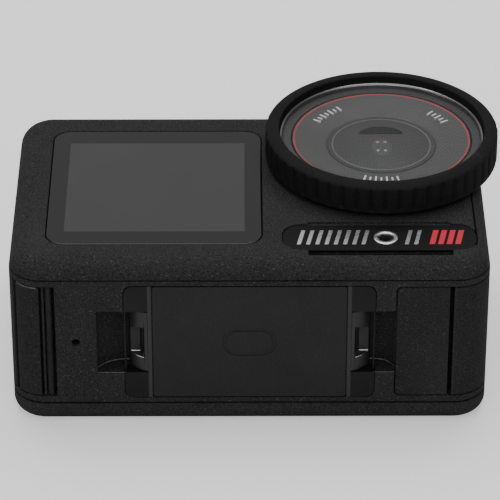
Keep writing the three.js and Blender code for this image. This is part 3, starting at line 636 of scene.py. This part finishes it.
def door_recesses():
    """Cuts for the two corner doors, the swing of the USB door's edge, and the hinge pins."""
    low, high = DOOR_LOW - GAP, DOOR_HIGH + GAP
    outside = -3.0
    battery = strip(BATTERY_CLEAR, -90, 0, BATTERY_END + GAP, outside, DOOR_DEPTH)
    usb = strip(USB_EDGE - 0.3, -90, 0, USB_END + GAP, outside, DOOR_DEPTH)
    swing = math.hypot(USB_EDGE - USB_PIN.x, HALF_Y + USB_PIN.y) + 0.1
    pin_low, pin_high = 3, 26
    return [
        along("Z", flipped(battery), low, high),
        along("Z", usb, low, high),
        rod("Z", USB_PIN.x, USB_PIN.y, swing, low, high),
        rod("Z", USB_PIN.x, USB_PIN.y, 0.4, pin_low, pin_high, 24),
        rod("Z", BATTERY_PIN.x, BATTERY_PIN.y, 0.45, pin_low, pin_high, 24),
    ]


def face_recesses():
    """Cuts in the quick-release face: USB hinge panel, release plate and claw pockets."""
    outside = -HALF_Y - 1
    (x0, y0, z0), (x1, y1, z1) = PLATE
    low, high = DOOR_LOW - GAP, DOOR_HIGH + GAP
    panel = rounded(PANEL[0].x - GAP, PANEL[1].x + 2.2, low, high, (1.5, 1.5, 0.85, 0.85))
    plate = rounded(x0 - REVEAL, x1 + REVEAL, z0 - REVEAL, z1 + REVEAL, 1.3)
    return [
        along("Y", panel, outside, -HALF_Y + DOOR_THICK + GAP),
        along("Y", plate, outside, -HALF_Y + (y1 - y0) + GAP),
        along("Z", flipped(claw_pocket(POCKET_ENDS[-1])), POCKET_LOW, POCKET_HIGH),
        along("Z", claw_pocket(POCKET_ENDS[1]), POCKET_LOW, POCKET_HIGH),
    ]


def end_openings():
    """Cuts in the end walls: battery bay and card slot on -X, USB socket and power button on +X."""
    inside, outside = 31, 36
    battery_bay = along("X", rounded(-16.7, 4.3, 6.9, 19.9, 1.0), -outside, -inside)
    card_slot = block(-outside, -inside, 7.1, 9.3, 7.7, 19.5)
    usb_socket = along("X", rounded(-12.8, -3.2, 12.3, 16.3, 1.5), inside, outside)
    power_button = along("X", rounded(6.3, 15.7, 12.1, 16.5, 2.1), inside, outside)
    return [battery_bay, card_slot, usb_socket, power_button]


def long_side_openings():
    """Cuts in the long walls: shutter button, microphone and its bed, magnet beds, speaker slots."""
    top_in, top_out = 20, 23
    shutter = rod("Y", -17, MID_Z, 6.3, top_in, top_out, 96)
    microphone = rod("Y", -25.5, MID_Z, 0.62, -23, -17, 32)
    microphone_bed = block(-27.3, -23.7, -20.6, -17, 12.5, 16.1)
    magnets = [block(x, x + 8.8, -20, -18.2, 10, 18.6) for x in (-11.4, 2.6)]
    speaker = [along("Y", rounded(x, x + 1, 10.3, 18.3, 0.45, 6), top_in, top_out) for x in range(-3, 6, 2)]
    return [shutter, microphone, microphone_bed, *magnets, *speaker]


def housing():
    """The middle shell. Its front end reaches into the seam, drawn in by a hair."""
    low, high = HOUSING[0].z, HOUSING[1].z + REVEAL
    shell = loft([body_ring(low, 0), body_ring(TOP - FRONT_ROUND, 0), body_ring(high, 0.025)])
    inside = along("Z", rounded(-32.2, 32.2, -17.4, 20.6, 1.2), 0, 30)
    carve(shell, inside, *door_recesses(), *face_recesses(), *end_openings(), *long_side_openings())
    place(edged(shell, 0.09), "housing_shell", "camera_body", "body_plastic", BODY_PLASTIC, "main_housing")


# ------------------------------------------------------------ screens and name plate

def screens():
    (x0, y0, z0), (x1, y1, z1) = SCREEN
    glass = cushion_edge("Z", (x0, x1, y0, y1, SCREEN_CORNER), z0, z1, 0.18)
    place(glass, "front_glass", "camera_body", "screen_glass", SCREEN_GLASS, "front_screen_glass")
    (x0, y0, z0), (x1, y1, z1) = REAR_SCREEN
    glass = cushion_edge("Z", (x0, x1, y0, y1, REAR_SCREEN_CORNER), z1, z0, 0.2)
    place(glass, "rear_glass", "camera_body", "screen_glass", REAR_GLASS, "rear_screen_glass")


def slanted_bars(start, pitch, count, wide, level):
    """Slanted bars printed on the name plate in place of its text."""
    v0, v1, lean = -16.0, -12.2, 0.75
    sunk, proud = level - 0.1, level + 0.03
    bars = []
    for i in range(count):
        u = start + pitch * i
        outline = [(u, v0), (u + wide, v0), (u + wide + lean, v1), (u + lean, v1)]
        bars.append(edged(along("Z", outline, sunk, proud), 0.03, 1))
    return bars


def name_plate():
    (x0, y0, z0), (x1, y1, z1) = NAME
    plate = along("Z", rounded(x0, x1, y0, y1, NAME_CORNER, 16), z0, z1)
    carve(plate, rod("Z", MIC.x, MIC.y, 1.95, 20, 30, 64))
    place(edged(plate, 0.08), "name_panel", "camera_body", "plate_black", PLATE_BLACK, "name_plate")
    bars = slanted_bars(6.9, 1.35, 8, 0.62, z1) + slanted_bars(22.7, 1.35, 2, 0.62, z1)
    place(joined(*bars), "plate_stripes", "camera_body", "bright_metal", BRIGHT_METAL)
    reds = slanted_bars(26.3, 1.25, 4, 0.85, z1)
    place(joined(*reds), "plate_red_stripes", "camera_body", "red", RED_PRINT)
    hole, edge, crest = 1.1, 1.85, 27.62
    rim = [(hole, z0), (edge, z0), (edge, crest - 0.12), (edge - 0.07, crest - 0.04), (edge - 0.19, crest),
           (hole + 0.18, crest), (hole + 0.05, crest - 0.05), (hole, crest - 0.12)]
    ring = lathe(rim, 64, (MIC.x, MIC.y))
    place(ring, "microphone_rim", "camera_body", "bright_metal", BRIGHT_METAL, "front_microphone_ring")


# ------------------------------------------------------------ lens

RIBS = 50
BUMPER_RADIUS = BUMPER[1].x - AXIS.x
FASCIA_INNER, FASCIA_OUTER = 8.1, FASCIA[1].x - AXIS.x
DOME_RADIUS, CROWN = DOME[1].x - AXIS.x, DOME[1].z
DOME_RIM = CROWN - DOME_RISE


def rib_shape(angle, radius, height):
    """Moulded ribs round the bumper's wall: a narrow groove between broad ribs."""
    deep, half_width, fade = 0.38, 0.2, 0.3
    base, top = BUMPER[0].z, BUMPER[1].z
    if radius < BUMPER_RADIUS - 0.45:
        return 0.0
    rise = max(0.0, min(1.0, (height - base - 0.35) / fade, (top - 0.55 - height) / fade))
    phase = angle * RIBS / (2 * math.pi) % 1
    groove = max(0.0, 1 - abs(phase - 0.5) / half_width)
    return -deep * rise * groove ** 0.7


def bumper():
    outer, inner, flat = BUMPER_RADIUS, 15.5, 16.5
    base, top = BUMPER[0].z, BUMPER[1].z
    foot = 0.4  # radius of the lower outer edge
    shoulder = top - 0.65
    levels = 12
    profile = [(inner, base), (outer - foot, base)]
    for degrees in (30, 60, 90):
        a = math.radians(degrees)
        profile.append((outer - foot + foot * math.sin(a), base + foot - foot * math.cos(a)))
    for i in range(1, levels + 1):
        profile.append((outer, base + foot + (shoulder - base - foot) * i / levels))
    profile += [(outer - 0.12, shoulder + 0.22), (outer - 0.4, shoulder + 0.42), (flat + 0.2, top - 0.07),
                (flat, top), (inner + 0.3, top), (inner + 0.1, top - 0.06), (inner, top - 0.25),
                (inner, base + 1)]
    ring = lathe(profile, RIBS * 12, radial=rib_shape)
    place(ring, "ribbed_bumper", "lens_cover_turn", "rubber", RUBBER, "rubber_lens_bumper", smooth=60)


def lens_cover():
    """The screwed ring that holds the lens window, and the window."""
    radius = WINDOW[1].x - AXIS.x
    outer, inner, wall, lip = COVER[1].x - AXIS.x, 14.25, radius + GAP, 13.75
    base, top, ledge = COVER[0].z, COVER[1].z, WINDOW[0].z - 0.1
    under, seat = ledge - 0.45, 14.55  # below the lip, and the bore of the seal's groove
    profile = [(inner, base), (outer, base), (outer, top - 0.04), (outer - 0.04, top), (outer - 0.08, top),
               (wall + 0.02, top - 0.17), (wall, top - 0.2), (wall, ledge), (lip + 0.08, ledge),
               (lip, ledge - 0.1), (lip, under), (seat, under), (seat, 29.6), (inner, 29.6)]
    ring = place(lathe(profile, 192), "cover_ring", "lens_cover_turn", "black_metal", COVER_METAL,
                 "lens_cover_ring", smooth=30)
    # faces below the window's ledge get the dark copy: painted shade under the window
    painted_shade_below = ledge + 0.05
    ring.data.materials.append(COVER_PAINTED_SHADE)
    for face in ring.data.polygons:
        if face.center.z / MM < painted_shade_below:
            face.material_index = 1
    z0, z1 = WINDOW[0].z, WINDOW[1].z
    pane = [(0, z0), (radius - 0.1, z0), (radius, z0 + 0.1), (radius, z1 - 0.12), (radius - 0.12, z1),
            (0, z1)]
    place(lathe(pane), "cover_window", "lens_cover_turn", "clear_glass", CLEAR_GLASS, "lens_cover_glass",
          smooth=30)


def tick(angle, radius, long):
    """A small radial bar printed on the fascia."""
    wide = 0.26
    level = dish_height(radius)
    bar = block(-wide / 2, wide / 2, -long / 2, long / 2, level - 0.2, level + 0.17)
    turn = Matrix.Translation((AXIS.x, AXIS.y, 0)) @ Matrix.Rotation(math.radians(angle - 90), 4, "Z")
    bar.data.transform(turn @ Matrix.Translation((0, radius, 0)))
    return bar


def dish_height(radius):
    """Height of the fascia's dished face, which rises outwards."""
    low, high = FASCIA[0].z + 0.5, FASCIA[1].z
    return low + (high - low) * (radius - FASCIA_INNER) / (FASCIA_OUTER - FASCIA_INNER)


def fascia():
    """The dished face round the front element, its red ring, and tick marks in place of labels."""
    inner, outer = FASCIA_INNER, FASCIA_OUTER
    thick = 0.5
    at_inner, at_outer = dish_height(inner), dish_height(outer)
    profile = [(inner, at_inner - thick), (outer, at_outer - thick), (outer, at_outer - 0.05),
               (outer - 0.05, at_outer), (inner + 0.5, dish_height(inner + 0.5)),
               (inner + 0.3, at_inner - 0.02), (inner + 0.1, at_inner - 0.12), (inner, at_inner - 0.3)]
    # its pale tone is partly a painted reflection
    place(lathe(profile), "lens_face", "camera_body", "fascia", FASCIA_TONE_AND_REFLECTION, "lens_fascia", smooth=25)
    r0, r1 = outer - 0.36, outer - 0.08
    sunk, lift = 0.1, 0.02
    ring = [(r0, dish_height(r0) - sunk), (r1, dish_height(r1) - sunk), (r1, dish_height(r1) + lift),
            (r0, dish_height(r0) + lift)]
    place(lathe(ring), "red_ring", "camera_body", "red", RING_PRINT, smooth=30)
    tick_radius, pitch = 11.3, 4.2  # the pitch is in degrees
    ticks = []
    for centre, count in ((136, 7), (38, 5), (268, 7)):
        for i in range(count):
            long = 1.3 if i % 2 == 0 else 0.8
            ticks.append(tick(centre + pitch * (i - (count - 1) / 2), tick_radius, long))
    place(joined(*ticks), "fascia_ticks", "camera_body", "fascia", PRINT, smooth=30)


def element_height(radius):
    """Height of the front element's domed face."""
    return CROWN - DOME_RISE * (radius / DOME_RADIUS) ** 2


def element_patch(x, y, wide, back, front, lift=0.02):
    """A reflection in the front element: a thin oval on its dome, centred x, y from the axis."""
    points = 40

    def ring(scale, drop=0.0):
        outline = []
        for i in range(points):
            a = 2 * math.pi * i / points
            deep = back if a < math.pi else front
            u, v = x + scale * wide * math.cos(a), y + scale * deep * math.sin(a)
            outline.append((AXIS.x + u, AXIS.y + v, element_height(math.hypot(u, v)) + lift - drop))
        return outline
    return loft([ring(1.0, 0.1)] + [ring(scale) for scale in (1.0, 0.8, 0.6, 0.4, 0.2, 0.05)])


def lens_element():
    """The front element with its seat and bright rim."""
    radius, rim = DOME_RADIUS, DOME_RIM
    seat_outer = 8.25
    seat = [(radius + 0.02, rim - 0.6), (seat_outer, rim - 0.6), (seat_outer, rim + 0.02),
            (seat_outer - 0.15, rim + 0.1), (radius + 0.12, rim + 0.06), (radius + 0.02, rim)]
    place(lathe(seat), "lens_seat", "camera_body", "black_metal", SEAT_METAL, smooth=25)
    bead = [(radius - 0.22, rim - 0.1), (radius + 0.02, rim - 0.1), (radius + 0.02, rim + 0.06),
            (radius - 0.1, rim + 0.12), (radius - 0.22, rim + 0.08)]
    place(lathe(bead), "element_rim", "camera_body", "clear_glass", RIM_GLASS, smooth=60)
    base = DOME[0].z
    glass = [(0, base), (radius, base), (radius, rim - 0.15), (radius - 0.05, rim - 0.04)]
    steps = 18
    for i in range(steps + 1):
        r = (radius - 0.12) * (1 - i / steps)
        glass.append((r, element_height(r)))
    place(lathe(glass, 128), "front_lens", "camera_body", "clear_glass", ELEMENT_GLASS, "lens_front_element")


def reflections():
    """What the photo shows reflected in the front element: a half-moon, a glow and four glints."""
    shade = element_patch(0, 1.9, 3.35, 2.25, 0.5)
    place(shade, "element_shade", "camera_body", "clear_glass", SHADE_GLASS)
    glow = element_patch(0, -1.8, 1.5, 1.7, 2.6, 0.008)
    place(glow, "element_glow", "camera_body", "clear_glass", GLOW_GLASS)
    for name, slot, material, y, size in (
            ("element_glints", "red", GLINT_RED, -0.95, 0.26),
            ("element_pale_glints", "fascia", GLINT_WHITE, -3.15, 0.2)):
        dots = [element_patch(x, y, size, size, size, 0.03) for x in (-0.62, 0.52)]
        place(joined(*dots), name, "camera_body", slot, material)


# ------------------------------------------------------------ side covers

def mirrored_slice(u0, u1, v0, v1, round_edge, steps):
    """A full-height bar of the battery door, drawn on +X and flipped to -X."""
    return along("Z", flipped(rounded(u0, u1, v0, v1, round_edge, steps)), DOOR_LOW, DOOR_HIGH)


def battery_leaf():
    """The door's curved leaf, with the hinge barrel, the web and bar beside it, and what ties them."""
    x, y = BATTERY_PIN.x, BATTERY_PIN.y
    z0, z1 = DOOR_LOW, DOOR_HIGH
    shape = strip(BATTERY_EDGE, None, LEAF_SEAM - LEAF_GAP, None, 0, DOOR_THICK)
    leaf = edged(along("Z", flipped(shape), z0, z1), 0.12, 3)
    web = edged(mirrored_slice(-x, 31.15, -20.45, -20.25, 0.05, 1), 0.05)
    bar = edged(mirrored_slice(30.0, 30.36, -21.9, -21.2, 0.1, 3), 0.05)
    barrel = edged(rod("Z", x - 0.1, y, 0.5, z0, z1, 32), 0.08)
    reach = LEAF_GAP + 3  # of the strip that bridges the seam from inside, in degrees
    backing = strip(None, LEAF_SEAM - reach, LEAF_SEAM + reach, None, DOOR_THICK - 0.3, DOOR_THICK + 0.05)
    bridge = along("Z", flipped(backing), z0 + 0.1, z1 - 0.1)
    stems = [block(-b, -a, -21.3, -20.3, z0, z1) for a, b in ((29.0, 29.6), (30.05, 30.3), (30.95, 31.2))]
    whole = joined(leaf, web, bar, barrel, bridge, *stems)
    leaf = place(whole, "battery_leaf", "battery_door", "cover_plastic", COVER_PLASTIC, "battery_door_leaf")
    # the leaf's upper bevel, facing up and out, takes a pale painted highlight
    leaf.data.materials.append(HIGHLIGHT_PLASTIC)
    edge_depth = 0.13
    for face in leaf.data.polygons:
        centre = face.center / MM
        on_edge = centre.z > z1 - edge_depth and 0.2 < face.normal.z < 0.97
        if on_edge and -34.0 < centre.x < -31.0 and face.normal.y < 0:
            face.material_index = 1


def battery_panel():
    """The door's flat side, with the latch's dished bed and its slot."""
    outline = strip(None, LEAF_SEAM + LEAF_GAP, 0, BATTERY_END, 0, DOOR_THICK)
    panel = along("Z", flipped(outline), DOOR_LOW, DOOR_HIGH)
    carve(
        panel,
        along("X", rounded(9.5, 17.5, 10.6, 18.0, 1.2), -37, -34.55),
        along("X", rounded(12.1, 16.2, LATCH_LOW, LATCH_HIGH, 0.4), -37, -30),
    )
    edged(panel, 0.12, 3)
    place(panel, "battery_panel", "battery_door", "cover_plastic", COVER_PLASTIC, "battery_door_panel")


def battery_thumb():
    """The latch: a ribbed thumb piece, its stem through the slot, and the tongue inside the door."""
    thumb = edged(along("X", rounded(11.7, 17.3, 10.8, 17.8, 1.0), -35.2, -34.65), 0.12, 3)
    stem = edged(block(-34.8, -33.8, 14.3, 16.1, LATCH_LOW + 0.2, LATCH_HIGH - 0.2), 0.08)
    tongue = edged(block(-33.95, -33.4, 13.2, 18.2, 12.4, 16.2), 0.08)
    ribs = [edged(block(-35.5, -35.0, y, y + 0.4, 11.8, 16.8), 0.1, 3) for y in (12.6, 13.7, 14.8, 15.9)]
    whole = joined(thumb, stem, tongue, *ribs)
    place(whole, "latch_thumb", "battery_latch", "smooth_plastic", SMOOTH_PLASTIC, "battery_latch")


def usb_side():
    """The USB door with its finger notch and barrel, and the fixed panel beside its hinge."""
    z0, z1 = DOOR_LOW, DOOR_HIGH
    cover = along("Z", strip(USB_EDGE, -90, 0, USB_END, 0, DOOR_THICK), z0, z1)
    carve(cover, along("X", rounded(-1.2, 3, 10.8, 17.8, 0.6), 34.9, 37))
    edged(cover, 0.12, 3)
    barrel = edged(rod("Z", USB_PIN.x, USB_PIN.y, 0.6, z0, z1, 32), 0.08)
    place(joined(cover, barrel), "usb_door", "usb_cover", "cover_plastic", COVER_PLASTIC, "usb_cover")
    (x0, y0, z0), (x1, y1, z1) = PANEL
    panel = edged(along("Y", rounded(x0, x1, z0, z1, (0, 0, 0.7, 0.7)), y0, y1), 0.12, 3)
    place(panel, "hinge_panel", "camera_body", "cover_plastic", COVER_PLASTIC, "usb_hinge_panel")


# ------------------------------------------------------------ quick-release face

def both_sides(inner, outer, y0, y1, z0, z1):
    """A pair of blocks from inner to outer, on -X and on +X."""
    return [block(*sorted((side * inner, side * outer)), y0, y1, z0, z1) for side in (-1, 1)]


def release_plate():
    """The plate, cut back for the pad, the beads and the claws, with a rail beyond each claw."""
    (x0, y0, z0), (x1, y1, z1) = PLATE
    plate = along("Y", rounded(x0, x1, z0, z1, 1.4), y0, y1)
    below, above = 0, 30
    front = -23
    pad = PAD[1].x
    claw_gap = CLAW[0].x - GAP
    carve(
        plate,
        block(-pad - 0.02, pad + 0.02, front, y0 + 1.0, below, above),
        *both_sides(claw_gap, 20, front, -19, POCKET_LOW, POCKET_HIGH)[::-1],
        *both_sides(pad, BEAD, front, y0 + 0.12, below, above),
        *both_sides(BEAD, claw_gap + 0.01, front, y0 + 0.25, below, above),
    )
    rails = [edged(rail, 0.05) for rail in both_sides(18.15, x1, y0 + 0.55, y1, POCKET_LOW, POCKET_HIGH)]
    plate = joined(edged(plate, 0.025), *rails)
    place(plate, "release_plate", "camera_body", "smooth_plastic", SMOOTH_PLASTIC, "mount_plate")
    beads = [edged(bead, 0.06, 3) for bead in both_sides(BEAD, claw_gap + 0.04, y0, y0 + 0.4, z0, z1)]
    place(joined(*beads), "release_beads", "camera_body", "smooth_plastic", BEAD_PLASTIC)


def release_pad():
    """The textured pad, with a rounded loop sunk into it in place of a mark."""
    (x0, y0, z0), (x1, y1, z1) = PAD
    pad = along("Y", rounded(x0, x1, z0, z1, 0.4), y0, y1)
    loop = along("Y", rounded(-4, 4, 11.9, 16.9, 2.4), -23, -HALF_Y + 0.17)
    core = along("Y", rounded(-3.3, 3.3, 12.6, 16.2, 1.7), -24, -HALF_Y + 1)
    carve(loop, core)
    carve(pad, loop)
    place(edged(pad, 0.06), "release_pad", "camera_body", "cover_plastic", PAD_PLASTIC, "mount_pad")


def pocket_edges():
    """The lower edges of the claw pockets, painted pale as a highlight: round the floor and along the mouth.
    """
    strips = []
    hair = 0.02
    level = POCKET_LOW - hair
    for side, outer in POCKET_ENDS.items():
        scoop = claw_pocket(outer)[1:POCKET_STEPS + 3]
        mouth = [(CLAW[1].x + 0.6, -HALF_Y + hair), (outer, -HALF_Y + hair)]
        for path, wide in ((scoop, 0.13), (mouth, hair)):
            rings = [[(side * x, y - wide, level), (side * x, y + hair, level),
                      (side * x, y + hair, POCKET_LOW + wide)] for x, y in path]
            strips.append(loft(rings))
    place(joined(*strips), "pocket_edges", "camera_body", "body_plastic", HIGHLIGHT_PLASTIC)


def claw(side, name):
    """A rounded claw with a lock notch. Its face falls away with the square of the distance."""
    x0, x1 = CLAW[0].x - 0.1, CLAW[1].x
    face, back = CLAW[0].y, CLAW[1].y
    fall, steps = 0.28, 18
    outline = [(x0, back)]
    for i in range(steps + 1):
        out = (x1 - x0) * i / steps
        outline.append((x0 + out, face + fall * out ** 2))
    outline.append((x1, back))
    body = along("Z", [(side * u, v) for u, v in outline], CLAW[0].z, CLAW[1].z)
    front, low, mouth = -23, 11.6, 17.5
    notch_floor, notch_high = -20.15, 15.7
    groove_floor, groove_high = -19.5, 15.2
    notch = [(front, low), (notch_floor, low), (notch_floor, notch_high), (front, mouth)]
    groove = [(front, low), (groove_floor, low), (groove_floor, groove_high), (front, mouth)]
    start, end, groove_end = side * 15.55, side * (x1 + 1), side * 16.05
    carve(body, along("X", notch, start, end), along("X", groove, start, groove_end))
    body = place(edged(body, 0.1, 3), "claw_" + name, "camera_body", "black_metal", CLAW_METAL,
                 "mount_claw_" + name)
    # small and sloped faces along the notch's lower edge take the painted highlight
    body.data.materials.append(HIGHLIGHT_METAL)
    for face in body.data.polygons:
        _, y, z = face.center / MM
        small_or_sloped = face.area < 0.3 * MM ** 2 or abs(face.normal.z) < 0.95
        if abs(z - low) < 0.13 and -22.0 < y < -20.0 and small_or_sloped:
            face.material_index = 1


# ------------------------------------------------------------ buttons

def on_face(obj, origin, axis):
    """Turns a piece drawn about +Z so that its +Z points along axis, then moves it."""
    turn = Vector((0, 0, 1)).rotation_difference(Vector(axis)).to_matrix().to_4x4()
    obj.data.transform(Matrix.Translation(origin) @ turn)
    return obj


def shutter_button():
    """The red trim ring let into the top wall, and the button inside it."""
    origin = (SHUTTER.x, HALF_Y, SHUTTER.z)
    up = (0, 1, 0)
    inner, outer = 4.9, 6.15
    trim = [(inner, -1.45), (outer, -1.45), (outer, 0.15), (outer - 0.05, 0.26), (outer - 0.17, 0.33),
            (outer - 0.3, 0.35), (inner + 0.3, 0.35), (inner + 0.15, 0.32), (inner + 0.05, 0.24),
            (inner, 0.15)]
    ring = on_face(lathe(trim, 128, (0, 0)), origin, up)
    place(ring, "shutter_ring", "camera_body", "red", RED, "shutter_trim_ring")
    stem, radius = 1.5, 4.75
    cap = [(0, -2.3), (stem, -2.3), (stem, -1.3), (radius, -1.3), (radius, 0.3), (radius - 0.05, 0.45),
           (radius - 0.2, 0.58), (radius - 0.45, 0.66), (3.0, 0.68), (stem, 0.62), (0, 0.6)]
    cap = on_face(lathe(cap, 128, (0, 0)), origin, up)
    place(cap, "shutter_cap", "shutter_button", "smooth_plastic", SMOOTH_PLASTIC, "shutter_button")


def power_button():
    low, high = span("power_button")
    cap = cushion_edge("X", (low.y, high.y, low.z, high.z, 1.75), high.x - 2.1, high.x, 0.3)
    stub = block(low.x, high.x - 1.8, 10.0, 12.0, 13.5, 15.1)
    whole = joined(cap, stub)
    place(whole, "power_cap", "power_button", "smooth_plastic", SMOOTH_PLASTIC, "power_button")


# ------------------------------------------------------------ stage, light and camera

WORLD_SHADE = (0.3, 0.8, 0.55, 0.08)  # how far sideways from, to; strength from, to
FLOOR_GLOW = 0.5  # lightens the floor as it is seen, and sheds no light on the object
AZIMUTH, ELEVATION = -0.18, 32.74  # degrees
DISTANCE, LENS_MM = 501.4, 237.3
TARGET = (0.13, 0.0, 16.24)


def area_light(name, energy, size, place_mm):
    """A soft rectangular light that points at the middle of the object."""
    light = bpy.data.lights.new(name, "AREA")
    light.energy = energy
    light.shape = "RECTANGLE"
    light.size, light.size_y = size[0] * MM, size[1] * MM
    obj = bpy.data.objects.new(name, light)
    obj.location = Vector(place_mm) * MM
    aim = Vector((0, 0, 12)) * MM - obj.location
    obj.rotation_euler = aim.to_track_quat("-Z", "Y").to_euler()
    bpy.context.scene.collection.objects.link(obj)


def studio_world():
    """An even white surround that darkens to both sides."""
    world = bpy.data.worlds.new("studio")
    world.use_nodes = True
    tree = world.node_tree
    sky = tree.nodes["Background"]
    direction = tree.nodes.new("ShaderNodeTexCoord").outputs["Generated"]
    split = tree.nodes.new("ShaderNodeSeparateXYZ")
    tree.links.new(direction, split.inputs["Vector"])
    sideways = tree.nodes.new("ShaderNodeMath")
    sideways.operation = "ABSOLUTE"
    tree.links.new(split.outputs["X"], sideways.inputs[0])
    shade = tree.nodes.new("ShaderNodeMapRange")
    tree.links.new(sideways.outputs[0], shade.inputs["Value"])
    for key, value in zip(RAMP_SOCKETS, WORLD_SHADE):
        shade.inputs[key].default_value = value
    tree.links.new(shade.outputs["Result"], sky.inputs["Strength"])
    sky.inputs["Color"].default_value = grey(1.0)
    bpy.context.scene.world = world


def paper_floor():
    """A wide pale floor, a hair below the rear glass."""
    half, thick, gap = 3000, 2, 0.02
    floor = block(-half, half, -half, half, -thick, -gap)
    floor.name = "floor"
    floor.data.transform(Matrix.Scale(MM, 4))
    n = Nodes("floor_paper")
    n.link(n.mix(n.noise(40.0, 3), grey(0.80), grey(0.84)), n.shader.inputs["Base Color"])
    n.shader.inputs["Roughness"].default_value = 0.9
    n.shader.inputs["Emission Color"].default_value = grey(1.0)
    seen = n.add("ShaderNodeLightPath").outputs["Is Camera Ray"]
    n.link(n.ramp(seen, 0.0, 1.0, 0.0, FLOOR_GLOW), n.shader.inputs["Emission Strength"])
    floor.data.materials.append(n.material)


def lights():
    area_light("top_softbox", 1.75, (500, 350), (0, 160, 520))
    area_light("front_softbox", 0.6, (400, 300), (0, -420, 420))
    area_light("left_softbox", 0.25, (200, 300), (-480, -160, 260))


def camera():
    data = bpy.data.cameras.new("camera")
    data.sensor_width = 36
    data.lens = LENS_MM
    data.clip_start, data.clip_end = 0.01, 20
    obj = bpy.data.objects.new("camera", data)
    az, el = math.radians(AZIMUTH), math.radians(ELEVATION)
    back = Vector((math.sin(az) * math.cos(el), -math.cos(az) * math.cos(el), math.sin(el)))
    obj.location = (Vector(TARGET) + back * DISTANCE) * MM
    obj.rotation_euler = (-back).to_track_quat("-Z", "Y").to_euler()
    bpy.context.scene.collection.objects.link(obj)
    bpy.context.scene.camera = obj


camera()
studio_world()
paper_floor()
lights()
front_cover()
rear_bezel()
housing()
screens()
name_plate()
bumper()
lens_cover()
fascia()
lens_element()
reflections()
battery_leaf()
battery_panel()
battery_thumb()
usb_side()
release_plate()
release_pad()
pocket_edges()
claw(-1, "left")
claw(1, "right")
shutter_button()
power_button()
